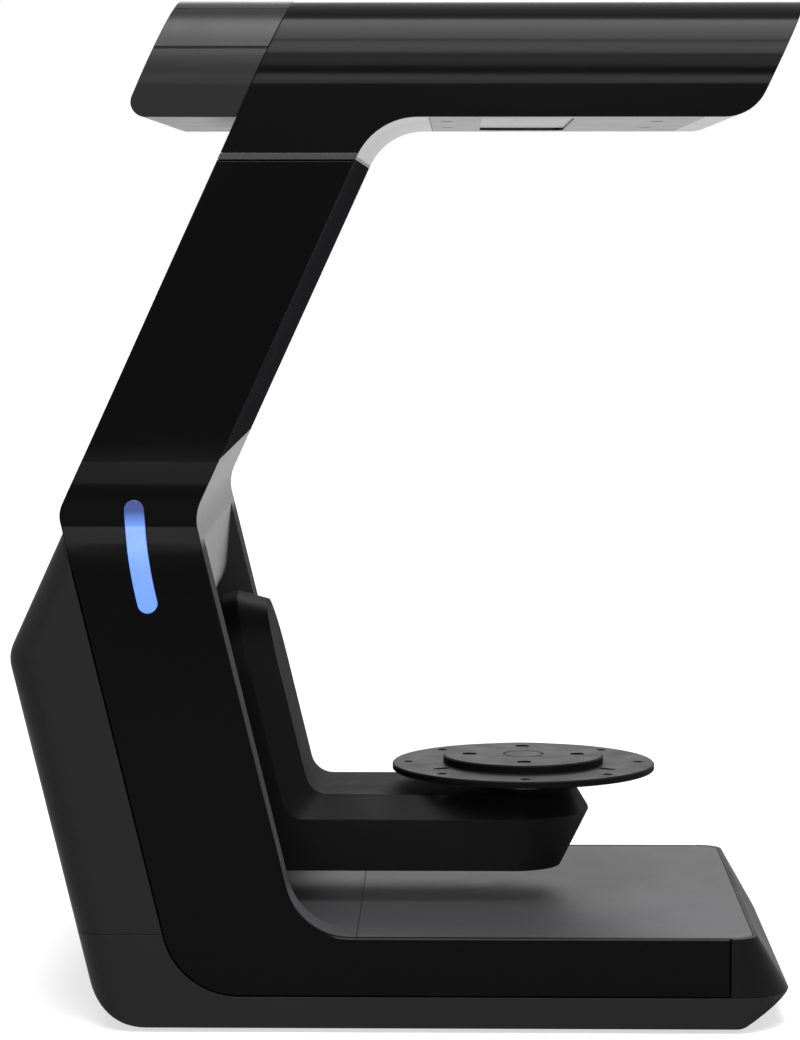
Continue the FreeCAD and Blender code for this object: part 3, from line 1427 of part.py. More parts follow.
def turntable_motor():
    body = new_body("turntable_motor_body")
    low = FOOT_BOTTOM + WALL
    y = float(SPIN_Y) + float(size("spin_belt_centres"))
    pad(body, "XY_Plane", low, 13.5, box_loop(0, y, 35, 35, 4.0))
    pocket(body, "XY_Plane", low + 2, 20, circle(0, y, MOTOR_SHAFT + RUNNING))
    return keep(body, "turntable_motor")


def turntable_motor_pulley():
    """Motor pulley with the motor's own shaft in it."""
    end = 58.5
    profile = [(0, end), (MOTOR_SHAFT, end), (MOTOR_SHAFT, SPIN_PULLEY_LOW)]
    profile += pulley_profile(float(size("spin_motor_pulley_radius")), 0, SPIN_PULLEY_LOW)[1:]
    frame = Placement(Vector(0, float(SPIN_Y) + float(size("spin_belt_centres")), 0), Rotation())
    return keep(turned("turntable_motor_pulley_body", "XZ_Plane", profile, frame), "turntable_motor_pulley")


def turntable_driven_pulley():
    profile = pulley_profile(float(size("spin_pulley_radius")), float(SPINDLE) + PULLEY_FIT, SPIN_PULLEY_LOW)
    body = turned("turntable_driven_pulley_body", "XZ_Plane", profile, SPIN_FRAME)
    return keep(body, "turntable_driven_pulley")


def turntable_bearing_housing():
    """A cup on the closing plate with a seat for each bearing and a lip between them."""
    low = float(FOOT_BOTTOM) + float(WALL)
    wide, seat, lip = 12.3, 9.52, 7.5
    profile = [(0, low), (wide, low), (wide, low + 13.8), (seat, low + 13.8), (seat, low + 8.3),
               (lip, low + 8.3), (lip, low + 6.9), (seat, low + 6.9), (seat, low + 1.4), (5.5, low + 1.4),
               (5.5, low + 1.0), (0, low + 1.0)]
    body = turned("turntable_bearing_housing_body", "XZ_Plane", profile, SPIN_FRAME)
    return keep(body, "turntable_bearing_housing")


PLATE_SCREW_CIRCLE = 23.5


def turntable_hub():
    spindle = float(SPINDLE)
    under_disc = float(DISC_TOP - DISC_THICKNESS)
    low = float(FOOT_BOTTOM) + float(WALL) + 1.4
    profile = [(0, low), (spindle, low), (spindle, 80.0), (15.0, 80.0), (15.0, 87.0), (28.0, 87.6, 0.8),
               (28.0, under_disc), (0, under_disc)]
    body = turned("turntable_hub_body", "XZ_Plane", profile, SPIN_FRAME)
    hole = pocket(body, "XY_Plane", under_disc - 3.5, 5.0, circle(PLATE_SCREW_CIRCLE, 0, 1.3))
    spun(body, 4, hole)
    return keep(body, "turntable_hub")


def turntable_disc():
    body = new_body("turntable_disc_body", SPIN_FRAME)
    low = DISC_TOP - DISC_THICKNESS
    pad(body, "XY_Plane", low, DISC_THICKNESS, circle(0, 0, size("disc_radius")))

    def rim(point, edge):
        return edge.isClosed()

    bevel_edges(body, 0.5, rim)
    hole = pocket(body, "XY_Plane", low - 1, DISC_THICKNESS + 2,
                  circle(size("fixture_circle_radius"), 0, size("fixture_hole_radius")))
    spun(body, 8, hole)
    slot = pocket(body, "XY_Plane", low - 1, DISC_THICKNESS + 2,
                  rectangle(37.0, 45.0, -1.7, 1.7, 1.65))
    spun(body, 3, slot)
    screw_hole = pocket(body, "XY_Plane", low - 1, DISC_THICKNESS + 2, circle(PLATE_SCREW_CIRCLE, 0, 1.7))
    spun(body, 4, screw_hole)
    return keep(body, "turntable_disc")


def centre_plate():
    body = new_body("centre_plate_body", SPIN_FRAME)
    pad(body, "XY_Plane", DISC_TOP, size("plate_thickness"), circle(0, 0, size("plate_radius")))

    def upper_rim(point, edge):
        return abs(point.z - float(DISC_TOP) - float(size("plate_thickness"))) < 0.01

    bevel_edges(body, 0.6, upper_rim)
    through = pocket(body, "XY_Plane", DISC_TOP - 1, 8, circle(PLATE_SCREW_CIRCLE, 0, 1.7))
    spun(body, 4, through)
    sink = pocket(body, "XY_Plane", DISC_TOP + 1.0, 8, circle(PLATE_SCREW_CIRCLE, 0, 3.2))
    spun(body, 4, sink)
    pocket(body, "XY_Plane", DISC_TOP + size("plate_thickness") - 0.4, 2,
           circle(0, 0, 9.0), circle(0, 0, 8.0))
    return keep(body, "centre_plate")


def centre_plate_screws():
    places = [(PLATE_SCREW_CIRCLE * math.cos(math.radians(a)), PLATE_SCREW_CIRCLE * math.sin(math.radians(a)))
              for a in (0, 90, 180, 270)]
    body = new_body("centre_plate_screws_body", SPIN_FRAME)
    pad(body, "XY_Plane", DISC_TOP - 6.4, 7.4, *[circle(x, y, 1.25) for x, y in places])
    pad(body, "XY_Plane", DISC_TOP + 1.0, 1.8, *[circle(x, y, 2.9) for x, y in places])
    pocket(body, "XY_Plane", DISC_TOP + 2.0, 2.0, *[circle(x, y, 1.3) for x, y in places])
    return keep(body, "centre_plate_screws")


# ---------------------------------------------------------------- assembly

def build():
    head_cover()
    head_rear_cap()
    head_bottom_cover()
    optical_window()
    screw_group("head_screws", HEAD_SCREWS, HEAD_BOTTOM + 0.2, 2.8, 1.2, 1.25, 9.0)
    neck_trim()
    for side, sign in (("left", -1), ("right", 1)):
        side_panel(side, sign)
        light_guide(side, sign)
        camera(side, sign)
        camera_lens(side, sign)
    arm_front_cover()
    arm_rear_cover()
    column_front_cover()
    column_rear_cover()
    front_trim()
    base_top_cover()
    base_tray()
    rubber_feet()
    screw_group("tray_screws", TRAY_SCREWS, TRAY_BOTTOM + 0.2, 3.0, 1.2, 1.25, 5.0)
    base_plate()
    column_frame()
    arm_beam()
    optics_bench()
    projector_body()
    projector_lens()
    projector_heat_sink()
    fan_frame()
    fan_rotor()
    main_board()
    board_spacers()
    io_board()
    dc_inlet()
    usb_port()
    power_switch()
    power_button()
    led_boards()
    swing_bearing_housing()
    bearing_pair("swing_bearings", "XY_Plane", SHAFT + RUNNING, 11.0, 6.0, (48.5, 71.5), COLUMN_FRAME)
    swing_motor()
    swing_motor_pulley()
    start = -(PULLEY_LOW + PULLEY_FLANGE + 0.3 + float(size("belt_width")))
    belt("swing_belt", "XZ_Plane", start, -float(size("swing_belt_centres")),
         float(size("swing_motor_pulley_radius")), 0.0, float(size("swing_pulley_radius")), COLUMN_FRAME)
    swing_shaft()
    swing_driven_pulley()
    swing_arm_shell()
    swing_arm_bottom_cover()
    turntable_motor()
    turntable_motor_pulley()
    half_turn = Placement(Vector(), Rotation(Vector(0, 0, 1), 180))
    belt("turntable_belt", "XY_Plane", SPIN_PULLEY_LOW + PULLEY_FLANGE + 0.3,
         -float(size("spin_belt_centres")), float(size("spin_motor_pulley_radius")), 0.0,
         float(size("spin_pulley_radius")), SPIN_FRAME.multiply(half_turn))
    turntable_bearing_housing()
    bearing_pair("turntable_bearings", "XZ_Plane", SPINDLE + RUNNING, 9.5, 5.0,
                 (float(FOOT_BOTTOM) + float(WALL) + 1.6, float(FOOT_BOTTOM) + float(WALL) + 8.5), SPIN_FRAME)
    turntable_driven_pulley()
    turntable_hub()
    turntable_disc()
    centre_plate()
    centre_plate_screws()


def check():
    """Stops on any failed feature, empty or broken shape, or pocket that removed nothing."""
    for item in doc.Objects:
        if "Invalid" in item.State or "Error" in item.State:
            raise SystemExit(f"{item.Name} ({item.Label}) failed: {item.State}")
    for feature in pockets:
        if feature.BaseFeature.Shape.Volume - feature.Shape.Volume < 1e-3:
            raise SystemExit(f"{feature.Name} removed nothing")
    for item in parts:
        if item.Shape.isNull() or not item.Shape.isValid() or not item.Shape.Solids:
            raise SystemExit(f"{item.Label} has no valid shape")


def write():
    os.makedirs("parts", exist_ok=True)
    for item in parts:
        item.Shape.exportStep(f"parts/{item.Label}.step")


build()
doc.recompute()
check()
write()
print(len(parts), "parts")
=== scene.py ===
import math

import bpy
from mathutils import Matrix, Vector


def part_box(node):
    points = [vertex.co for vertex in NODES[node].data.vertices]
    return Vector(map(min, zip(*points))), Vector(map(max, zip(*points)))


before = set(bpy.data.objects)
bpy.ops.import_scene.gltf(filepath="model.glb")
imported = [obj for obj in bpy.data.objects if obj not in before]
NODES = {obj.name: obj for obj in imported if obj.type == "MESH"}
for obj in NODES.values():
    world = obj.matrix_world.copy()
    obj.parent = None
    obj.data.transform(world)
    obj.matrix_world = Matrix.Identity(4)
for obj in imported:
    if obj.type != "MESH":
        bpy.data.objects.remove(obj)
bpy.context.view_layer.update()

MM = 0.001
WHITE = (1, 1, 1, 1)


# ---------------------------------------------------------------- shader nodes

class Nodes:
    """Adds and links the nodes of one shader tree."""

    def __init__(self, tree):
        self.tree = tree

    def add(self, kind, **settings):
        node = self.tree.nodes.new(kind)
        for name, value in settings.items():
            setattr(node, name, value)
        return node

    def link(self, source, target):
        self.tree.links.new(source, target)

    def feed(self, target, value):
        """Links another node's output to an input, or sets the input to a plain value."""
        if isinstance(value, bpy.types.NodeSocket):
            self.link(value, target)
        else:
            target.default_value = value

    def math(self, operation, *values):
        node = self.add("ShaderNodeMath", operation=operation)
        for target, value in zip(node.inputs, values):
            self.feed(target, value)
        return node.outputs["Value"]

    def product(self, first, second):
        return self.math("MULTIPLY", first, second)

    def ranged(self, value, low, high, start=0.3, end=0.7, **settings):
        """Runs from low to high while the value runs from start to end."""
        node = self.add("ShaderNodeMapRange", **settings)
        for name, number in (("From Min", start), ("From Max", end), ("To Min", low), ("To Max", high)):
            node.inputs[name].default_value = number
        self.link(value, node.inputs["Value"])
        return node.outputs["Result"]

    def blended(self, factor, low, high):
        """Runs from one colour to another with the factor; the second may be another node's output."""
        mix = self.add("ShaderNodeMix", data_type="RGBA")
        mix.inputs["A"].default_value = (*low, 1)
        self.feed(mix.inputs["B"], (*high, 1) if isinstance(high, tuple) else high)
        self.link(factor, mix.inputs["Factor"])
        return mix.outputs["Result"]


class Maker(Nodes):
    """Builds one Principled material, with object coordinates in metres for its textures."""

    def __init__(self, name, colour, roughness, metallic=0.0, specular=0.5):
        self.material = bpy.data.materials.new(name)
        self.material.use_nodes = True
        self.material.diffuse_color = (*colour, 1)
        super().__init__(self.material.node_tree)
        self.shader = self.tree.nodes["Principled BSDF"]
        self.shader.inputs["Base Color"].default_value = (*colour, 1)
        self.shader.inputs["Roughness"].default_value = roughness
        self.shader.inputs["Metallic"].default_value = metallic
        self.shader.inputs["Specular IOR Level"].default_value = specular
        self.colour = colour
        self.coordinates = self.add("ShaderNodeTexCoord")
        self.place = self.coordinates.outputs["Object"]
        self.normal = None

    def axis(self, name, source="Object"):
        """One component of the object coordinates, in metres, or of the object's own normals."""
        split = self.add("ShaderNodeSeparateXYZ")
        self.link(self.coordinates.outputs[source], split.inputs["Vector"])
        return split.outputs[name]

    def noise(self, per_metre, detail=3.0, stretch=(1, 1, 1)):
        mapping = self.add("ShaderNodeMapping")
        mapping.inputs["Scale"].default_value = stretch
        self.link(self.place, mapping.inputs["Vector"])
        node = self.add("ShaderNodeTexNoise")
        node.inputs["Scale"].default_value = per_metre
        node.inputs["Detail"].default_value = detail
        self.link(mapping.outputs["Vector"], node.inputs["Vector"])
        return node.outputs["Fac"]

    def mottle(self, per_metre, other, detail=3.0):
        """The colour drifts between the base colour and another."""
        drift = self.ranged(self.noise(per_metre, detail), 0, 1)
        self.link(self.blended(drift, self.colour, other), self.shader.inputs["Base Color"])
        return self

    def smudges(self, per_metre, low, high, flat_gain=0.0):
        """The roughness drifts between two values, as handled plastic or metal does; flat_gain is added
        where the surface is seen at a flat angle, which keeps fine edges from mirroring the surroundings."""
        value = self.ranged(self.noise(per_metre, 4.0), low, high)
        if flat_gain:
            grazing = self.add("ShaderNodeLayerWeight").outputs["Facing"]
            value = self.math("ADD", value, self.ranged(grazing, 0.0, flat_gain, 0.6, 0.95))
        self.link(value, self.shader.inputs["Roughness"])
        return self

    def coat(self, weight, tint, roughness=0.03):
        self.shader.inputs["Coat Weight"].default_value = weight
        self.shader.inputs["Coat Roughness"].default_value = roughness
        self.shader.inputs["Coat Tint"].default_value = (*tint, 1)
        return self

    def soft_edges(self, radius):
        """Sharp edges catch the light as slightly broken ones do."""
        bevel = self.add("ShaderNodeBevel", samples=4)
        bevel.inputs["Radius"].default_value = radius
        self.normal = bevel.outputs["Normal"]
        return self

    def relief(self, height, depth):
        """Fine relief on top of the softened edges."""
        bump = self.add("ShaderNodeBump")
        bump.inputs["Distance"].default_value = depth
        self.link(height, bump.inputs["Height"])
        self.link(self.normal, bump.inputs["Normal"])
        self.normal = bump.outputs["Normal"]
        return self

    def grain(self, per_metre, depth, detail=2.0, stretch=(1, 1, 1)):
        return self.relief(self.noise(per_metre, detail, stretch), depth)

    def done(self):
        self.link(self.normal, self.shader.inputs["Normal"])
        return self.material


# ---------------------------------------------------------------- plastics

def gloss_black():
    """High-gloss moulded plastic of the side panels: faint orange peel and faint smears."""
    maker = Maker("gloss_black", (0.0006, 0.0006, 0.0008), 0.16, specular=0.04)
    maker.smudges(14, 0.13, 0.2, flat_gain=0.6)
    return maker.soft_edges(0.5 * MM).grain(260, 0.006 * MM, 1.0).done()


def nose_black():
    """Front of the base: the panels' black, but satin."""
    maker = Maker("nose_black", (0.002, 0.002, 0.0024), 0.5, specular=0.06)
    maker.smudges(20, 0.46, 0.54)
    return maker.soft_edges(0.6 * MM).grain(1800, 0.01 * MM, 3.0).done()


def head_black():
    """The head's cover: the panels' black, more evenly polished."""
    maker = Maker("head_black", (0.0003, 0.0003, 0.0004), 0.17, specular=0.045)
    maker.smudges(10, 0.155, 0.185)
    return maker.soft_edges(0.6 * MM).grain(900, 0.006 * MM, 2.0).done()


def matte_dark():
    """Spark-eroded moulded plastic of the rear body and the tray."""
    maker = Maker("matte_dark", (0.003, 0.003, 0.0035), 0.6, specular=0.12)
    maker.mottle(30, (0.0038, 0.0038, 0.0044)).smudges(45, 0.5, 0.6)
    return maker.soft_edges(0.6 * MM).grain(2600, 0.03 * MM, 3.0).done()


def arm_black():
    """Swing arm: the rear body's moulding, finer and darker."""
    maker = Maker("arm_black", (0.0015, 0.0015, 0.0018), 0.42, specular=0.05)
    maker.mottle(40, (0.002, 0.002, 0.0023)).smudges(50, 0.38, 0.47, flat_gain=0.35)
    return maker.soft_edges(0.7 * MM).grain(3000, 0.02 * MM, 3.0).done()


def satin_dark():
    """Back of the arm, between the side panels."""
    maker = Maker("satin_dark", (0.003, 0.003, 0.0034), 0.85, specular=0.03)
    maker.smudges(25, 0.8, 0.9)
    return maker.soft_edges(0.5 * MM).grain(2200, 0.012 * MM, 3.0).done()


def dull_dark():
    """Front of the arm, which must not glare beside the cameras: dead matte."""
    maker = Maker("dull_dark", (0.02, 0.02, 0.022), 0.95, specular=0.0)
    maker.mottle(40, (0.024, 0.024, 0.0265)).smudges(25, 0.9, 1.0)
    return maker.soft_edges(0.5 * MM).grain(2600, 0.02 * MM, 3.0).done()


def under_dark():
    """Satin moulding under the head, smoother than the swing arm's."""
    maker = Maker("under_dark", (0.005, 0.005, 0.0055), 0.32, specular=0.3)
    maker.smudges(25, 0.3, 0.34)
    return maker.soft_edges(0.5 * MM).grain(1800, 0.008 * MM, 3.0).done()


# Height range over which the channel's painted shade darkens the colour and the surface grows smoother.
CHANNEL_SHADE_AND_POLISH = (55 * MM, 105 * MM)
STRIP_EDGE = (88.5 * MM, 89.5 * MM)
STRIP_FOOT = (50 * MM, 70 * MM)
STRIP_HEAD = (196 * MM, 204 * MM)
STRIP_ROUGHNESS = 0.9


def lower_grey():
    """Grey satin skin of the base top, which runs up into the channel, grows darker there with painted shade
    of the channel, and grows smoother;
    the strips beside the channel are rough."""
    maker = Maker("lower_grey", (0.025, 0.025, 0.0275), 0.56, specular=0.27)
    height = maker.axis("Z")
    painted_channel_shade = maker.ranged(height, 0, 1, *CHANNEL_SHADE_AND_POLISH)
    # Painted shade: the base colour darkens as the skin climbs into the shadowed channel.
    maker.link(maker.blended(painted_channel_shade, maker.colour, (0.004, 0.004, 0.0045)), maker.shader.inputs["Base Color"])
    polish = maker.ranged(height, 1.0, 0.62, *CHANNEL_SHADE_AND_POLISH)
    smooth = maker.product(polish, maker.ranged(maker.noise(55), 0.55, 0.58))
    strip = maker.ranged(maker.math("ABSOLUTE", maker.axis("X")), 0, 1, *STRIP_EDGE)
    strip = maker.product(strip, maker.ranged(height, 0, 1, *STRIP_FOOT))
    strip = maker.product(strip, maker.ranged(height, 1, 0, *STRIP_HEAD))
    coarse = maker.product(strip, STRIP_ROUGHNESS)
    maker.link(maker.math("MAXIMUM", smooth, coarse), maker.shader.inputs["Roughness"])
    return maker.soft_edges(0.6 * MM).grain(2200, 0.016 * MM, 3.0).done()


def satin_grey():
    """Grey moulded plastic of the head's rear cap."""
    maker = Maker("satin_grey", (0.0025, 0.0025, 0.0029), 0.3, specular=0.1)
    maker.mottle(35, (0.0032, 0.0032, 0.0036)).smudges(40, 0.27, 0.34)
    return maker.soft_edges(0.6 * MM).grain(2400, 0.02 * MM, 3.0).done()


# ---------------------------------------------------------------- metals

TURNTABLE_AXIS = (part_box("turntable_disc")[0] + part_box("turntable_disc")[1]) / 2
# Painted shade colour for the rims of the disc and the plate.
RIM_PAINTED_SHADE = (0.0006, 0.0006, 0.0007)
RIM_TO_FACE = (0.3, 0.8)


def turned_black(name, colour, other, roughness, per_metre):
    """Black anodised aluminium: turning marks on the faces, and a duller rim that is darkened with painted
    shade.
    """
    maker = Maker(name, colour, roughness, specular=0.06)
    upright = maker.math("ABSOLUTE", maker.axis("Z", "Normal"))
    face = maker.ranged(upright, 0.0, 1.0, *RIM_TO_FACE)
    cloud = maker.blended(maker.ranged(maker.noise(60), 0, 1), colour, other)
    # Painted shade: faces that point sideways get the rim's dark colour and upward faces keep the turned
    # colour.
    maker.link(maker.blended(face, RIM_PAINTED_SHADE, cloud), maker.shader.inputs["Base Color"])
    drift = maker.ranged(maker.noise(80, 4.0), roughness - 0.04, roughness + 0.06)
    dull = maker.ranged(upright, 0.3, 0.0, *RIM_TO_FACE)
    maker.link(maker.math("ADD", drift, dull), maker.shader.inputs["Roughness"])
    maker.soft_edges(0.2 * MM)
    mapping = maker.add("ShaderNodeMapping")
    mapping.inputs["Location"].default_value = (-TURNTABLE_AXIS.x, -TURNTABLE_AXIS.y, 0)
    maker.link(maker.place, mapping.inputs["Vector"])
    wave = maker.add("ShaderNodeTexWave", wave_type="RINGS", rings_direction="Z")
    wave.inputs["Scale"].default_value = per_metre
    wave.inputs["Distortion"].default_value = 0.4
    wave.inputs["Detail"].default_value = 2.0
    maker.link(mapping.outputs["Vector"], wave.inputs["Vector"])
    return maker.relief(wave.outputs["Fac"], 0.01 * MM).done()


def disc_black():
    return turned_black("disc_black", (0.005, 0.005, 0.0058), (0.0072, 0.0072, 0.0082), 0.46, 420)


def plate_black():
    return turned_black("plate_black", (0.0045, 0.0045, 0.0052), (0.0065, 0.0065, 0.0075), 0.44, 520)


def brushed_steel():
    """Steel brushed along the width."""
    maker = Maker("brushed_steel", (0.5, 0.5, 0.51), 0.3, metallic=1.0)
    maker.smudges(60, 0.25, 0.37)
    return maker.soft_edges(0.3 * MM).grain(90, 0.01 * MM, 2.0, (1, 40, 40)).done()


def grey_trim():
    """Dark metallic lacquer of the line round the neck."""
    maker = Maker("grey_trim", (0.022, 0.022, 0.024), 0.38, metallic=0.4, specular=0.2)
    maker.smudges(120, 0.34, 0.44)
    return maker.soft_edges(0.4 * MM).grain(70, 0.01 * MM, 2.0, (60, 1, 60)).done()


def cast_metal():
    """Bare die-cast aluminium of the inner frame and the pulleys."""
    maker = Maker("cast_metal", (0.42, 0.43, 0.45), 0.48, metallic=1.0)
    maker.mottle(70, (0.5, 0.51, 0.53)).smudges(150, 0.42, 0.56)
    return maker.soft_edges(0.4 * MM).grain(900, 0.04 * MM, 4.0).done()


def polished_steel():
    maker = Maker("polished_steel", (0.62, 0.62, 0.63), 0.14, metallic=1.0)
    maker.smudges(120, 0.1, 0.2)
    return maker.soft_edges(0.2 * MM).grain(1200, 0.004 * MM).done()


def screw_black():
    maker = Maker("screw_black", (0.02, 0.02, 0.022), 0.35, metallic=0.9)
    maker.smudges(600, 0.28, 0.45)
    return maker.soft_edges(0.15 * MM).grain(3000, 0.01 * MM).done()


def motor_black():
    """Enamelled housings of the motors, the projector and the cameras."""
    maker = Maker("motor_black", (0.012, 0.012, 0.013), 0.38, metallic=0.4)
    maker.mottle(90, (0.02, 0.02, 0.021)).smudges(120, 0.32, 0.46)
    return maker.soft_edges(0.4 * MM).grain(1500, 0.01 * MM).done()


def brass():
    maker = Maker("brass", (0.65, 0.42, 0.14), 0.28, metallic=1.0)
    maker.smudges(300, 0.22, 0.36)
    return maker.soft_edges(0.15 * MM).grain(2000, 0.005 * MM).done()


def port_metal():
    maker = Maker("port_metal", (0.5, 0.5, 0.49), 0.25, metallic=1.0)
    maker.smudges(300, 0.2, 0.34)
    return maker.soft_edges(0.15 * MM).grain(900, 0.01 * MM).done()


# ---------------------------------------------------------------- small parts, glass and light

def rubber(name, colour, per_metre):
    maker = Maker(name, colour, 0.8, specular=0.25)
    maker.mottle(120, tuple(1.4 * part for part in colour)).smudges(200, 0.72, 0.88)
    return maker.soft_edges(0.3 * MM).grain(per_metre, 0.05 * MM, 4.0).done()


def board_green():
    """Solder mask of the circuit boards."""
    maker = Maker("board_green", (0.006, 0.07, 0.028), 0.3)
    maker.mottle(400, (0.01, 0.1, 0.04), 1.0).smudges(200, 0.25, 0.4)
    return maker.soft_edges(0.1 * MM).grain(1500, 0.02 * MM).done()


def port_black():
    maker = Maker("port_black", (0.008, 0.008, 0.008), 0.5, specular=0.3)
    maker.mottle(200, (0.012, 0.012, 0.012)).smudges(150, 0.44, 0.58)
    return maker.soft_edges(0.2 * MM).grain(3500, 0.015 * MM).done()


def button_grey():
    maker = Maker("button_grey", (0.11, 0.11, 0.115), 0.35)
    maker.mottle(200, (0.13, 0.13, 0.135)).smudges(200, 0.3, 0.42)
    return maker.soft_edges(0.3 * MM).grain(2500, 0.01 * MM).done()


def window_glass():
    """Tinted pane: dark and satin, with a faint coating."""
    maker = Maker("window_glass", (0.004, 0.004, 0.006), 0.28, specular=0.35)
    maker.smudges(25, 0.26, 0.3).coat(0.1, (0.75, 0.8, 1), 0.16)
    return maker.soft_edges(0.2 * MM).grain(120, 0.002 * MM, 1.0).done()


def lens_glass():
    """Front lens with a bluish coating."""
    maker = Maker("lens_glass", (0.006, 0.007, 0.012), 0.04)
    maker.smudges(200, 0.03, 0.08).coat(1.0, (0.6, 0.7, 1))
    return maker.soft_edges(0.2 * MM).grain(400, 0.001 * MM, 1.0).done()


LIGHT_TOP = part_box("light_guide_left")[1].z
LIGHT_FADE = 11 * MM


def light_blue():
    """Lit light guide: even blue, fading out below its upper end."""
    maker = Maker("light_blue", (0.01, 0.03, 0.15), 0.3)
    fade = maker.ranged(maker.axis("Z"), 1.0, 0.04, LIGHT_TOP - LIGHT_FADE, LIGHT_TOP - 0.4 * LIGHT_FADE)
    cloud = maker.ranged(maker.noise(90, 2.0), 0.9, 1.06)
    maker.link(maker.product(fade, cloud), maker.shader.inputs["Emission Strength"])
    maker.shader.inputs["Emission Color"].default_value = (0.14, 0.31, 0.87, 1)
    return maker.soft_edges(0.4 * MM).grain(1500, 0.01 * MM).done()


FINISHES = (
    (gloss_black(), ("side_panel_left", "side_panel_right")),
    (nose_black(), ("front_trim",)),
    (head_black(), ("head_cover",)),
    (matte_dark(), ("column_rear_cover", "base_tray")),
    (arm_black(), ("swing_arm_shell", "swing_arm_bottom_cover")),
    (satin_dark(), ("arm_rear_cover",)),
    (dull_dark(), ("arm_front_cover",)),
    (under_dark(), ("head_bottom_cover",)),
    (lower_grey(), ("base_top_cover", "column_front_cover")),
    (satin_grey(), ("head_rear_cap",)),
    (disc_black(), ("turntable_disc",)),
    (plate_black(), ("centre_plate",)),
    (brushed_steel(), ("base_plate", "swing_shaft", "turntable_hub")),
    (grey_trim(), ("neck_trim",)),
    (cast_metal(), ("column_frame", "arm_beam", "optics_bench", "projector_heat_sink",
                    "swing_bearing_housing", "swing_motor_pulley", "swing_driven_pulley",
                    "turntable_motor_pulley", "turntable_bearing_housing", "turntable_driven_pulley")),
    (polished_steel(), ("swing_bearings", "turntable_bearings")),
    (screw_black(), ("head_screws", "tray_screws", "centre_plate_screws")),
    (motor_black(), ("swing_motor", "turntable_motor", "projector_body", "camera_left", "camera_right")),
    (rubber("belt_rubber", (0.008, 0.008, 0.008), 1200), ("swing_belt", "turntable_belt")),
    (rubber("foot_rubber", (0.012, 0.012, 0.012), 700), ("rubber_feet",)),
    (board_green(), ("main_board", "io_board", "led_boards")),
    (brass(), ("board_spacers",)),
    (port_black(), ("dc_inlet", "power_switch", "fan_frame", "fan_rotor")),
    (port_metal(), ("usb_port",)),
    (button_grey(), ("power_button",)),
    (window_glass(), ("optical_window",)),
    (lens_glass(), ("camera_lens_left", "camera_lens_right", "projector_lens")),
    (light_blue(), ("light_guide_left", "light_guide_right")),
)


def dress():
    """Gives every CAD node its finish."""
    for material, names in FINISHES:
        for name in names:
            for place in NODES[name].material_slots:
                place.material = material


# ---------------------------------------------------------------- studio

AMBIENT = 0.35
FLOOR_REACH = 30.0
FLOOR_GREY = (0.4, 0.4, 0.4)
GLOW_NEAR, GLOW_FAR = 0.62, 0.92
GLOW_START, GLOW_END = 0.3, 3.0


def seen_directly(nodes):
    """1 for camera, glossy and transmission rays, which see the pale surroundings."""
    ray = nodes.add("ShaderNodeLightPath").outputs
    seen = nodes.math("MAXIMUM", ray["Is Camera Ray"], ray["Is Glossy Ray"])
    return nodes.math("MAXIMUM", seen, ray["Is Transmission Ray"])


def make_world():
    """Even ambient light; the surroundings themselves are seen as white."""
    world = bpy.data.worlds.new("studio")
    world.use_nodes = True
    nodes = Nodes(world.node_tree)
    ambient = nodes.tree.nodes["Background"]
    white = nodes.add("ShaderNodeBackground")
    mix = nodes.add("ShaderNodeMixShader")
    nodes.link(seen_directly(nodes), mix.inputs["Fac"])
    for background, strength, target in ((ambient, AMBIENT, mix.inputs[1]), (white, 1.0, mix.inputs[2])):
        background.inputs["Color"].default_value = WHITE
        background.inputs["Strength"].default_value = strength
        nodes.link(background.outputs["Background"], target)
    nodes.link(mix.outputs["Shader"], nodes.tree.nodes["World Output"].inputs["Surface"])
    bpy.context.scene.world = world


def make_floor():
    """A wide pale floor that shows the object's soft shadow and stays white where the lamps don't reach."""
    mesh = bpy.data.meshes.new("floor")
    corners = [(FLOOR_REACH * x, FLOOR_REACH * y, 0) for x, y in ((-1, -1), (1, -1), (1, 1), (-1, 1))]
    mesh.from_pydata(corners, [], [(0, 1, 2, 3)])
    floor = bpy.data.objects.new("floor", mesh)
    bpy.context.collection.objects.link(floor)
    maker = Maker("floor_white", FLOOR_GREY, 0.9, specular=0.0)
    distance = maker.add("ShaderNodeVectorMath", operation="LENGTH")
    maker.link(maker.place, distance.inputs[0])
    fill = maker.ranged(distance.outputs["Value"], GLOW_NEAR, GLOW_FAR, GLOW_START, GLOW_END,
                        interpolation_type="SMOOTHSTEP")
    glow = maker.add("ShaderNodeEmission")
    glow.inputs["Color"].default_value = WHITE
    maker.link(maker.product(seen_directly(maker), fill), glow.inputs["Strength"])
    both = maker.add("ShaderNodeAddShader")
    maker.link(maker.shader.outputs["BSDF"], both.inputs[0])
    maker.link(glow.outputs["Emission"], both.inputs[1])
    maker.link(both.outputs["Shader"], maker.tree.nodes["Material Output"].inputs["Surface"])
    mesh.materials.append(maker.material)


MIDDLE = (0, 0, 0.25)
HEAD = (-0.1, -0.03, 0.4)


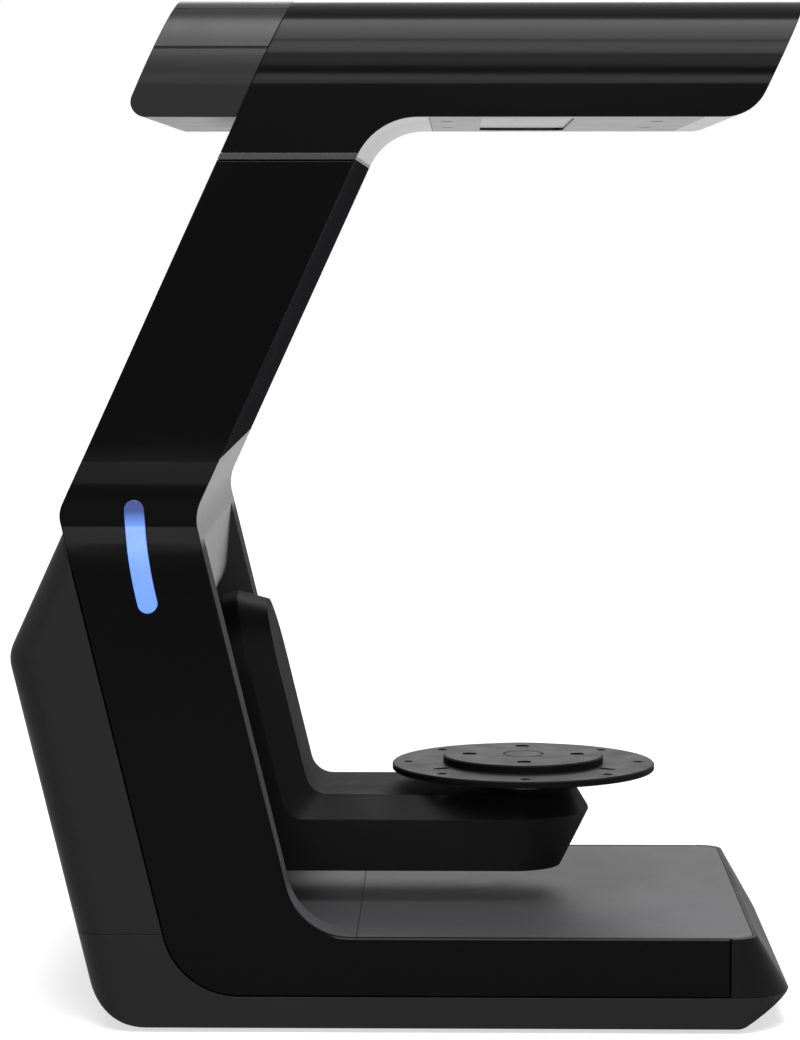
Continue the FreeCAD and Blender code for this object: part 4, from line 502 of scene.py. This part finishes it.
def softbox(name, place, target, width, height, radiance):
    """An area lamp of an even radiance, 1 being white, aimed at a point."""
    data = bpy.data.lights.new(name, "AREA")
    data.shape = "RECTANGLE"
    data.size = width
    data.size_y = height
    data.energy = radiance * math.pi * width * height
    lamp = bpy.data.objects.new(name, data)
    bpy.context.collection.objects.link(lamp)
    lamp.location = place
    lamp.rotation_euler = (Vector(target) - Vector(place)).to_track_quat("-Z", "Y").to_euler()


def make_lamps():
    softbox("overhead", (-0.3, -0.05, 1.7), (-0.3, -0.05, 0), 0.85, 0.8, 17.0)
    softbox("near_high", (-0.98, -0.03, 1.55), HEAD, 1.0, 0.45, 16.0)
    softbox("near_low", (-1.4, -0.03, 1.25), HEAD, 1.2, 0.42, 5.5)
    softbox("near_horizon", (-12.0, 0.0, 2.55), (0, 0, 0.2), 6.0, 1.8, 12.0)
    softbox("near_front", (-1.0, -1.7, 0.55), (0, -0.02, 0.15), 0.8, 0.9, 1.8)
    softbox("side_far", (1.9, 0.0, 1.0), MIDDLE, 1.5, 0.6, 2.5)
    softbox("front", (0.0, -1.9, 1.35), MIDDLE, 1.5, 0.5, 1.4)
    softbox("rear", (0.0, 1.9, 1.35), MIDDLE, 1.5, 0.5, 1.4)


EYE = Vector((-1.542, -0.0212, 0.3278))
YAW = math.radians(0.943)
PITCH = math.radians(-3.382)
LENS = 123.16
SENSOR_WIDTH = 36.0
LENS_SHIFT = -0.08


def make_camera():
    """Looks at the near side from 1.5 m, from above mid height and slightly downwards."""
    data = bpy.data.cameras.new("camera")
    data.lens = LENS
    data.sensor_width = SENSOR_WIDTH
    data.shift_y = LENS_SHIFT
    camera = bpy.data.objects.new("camera", data)
    bpy.context.collection.objects.link(camera)
    camera.location = EYE
    ahead = Vector((math.cos(YAW) * math.cos(PITCH), math.sin(YAW) * math.cos(PITCH), math.sin(PITCH)))
    camera.rotation_euler = ahead.to_track_quat("-Z", "Y").to_euler()
    bpy.context.scene.camera = camera


dress()
make_world()
make_floor()
make_lamps()
make_camera()
bpy.context.scene.view_settings.view_transform = "Standard"
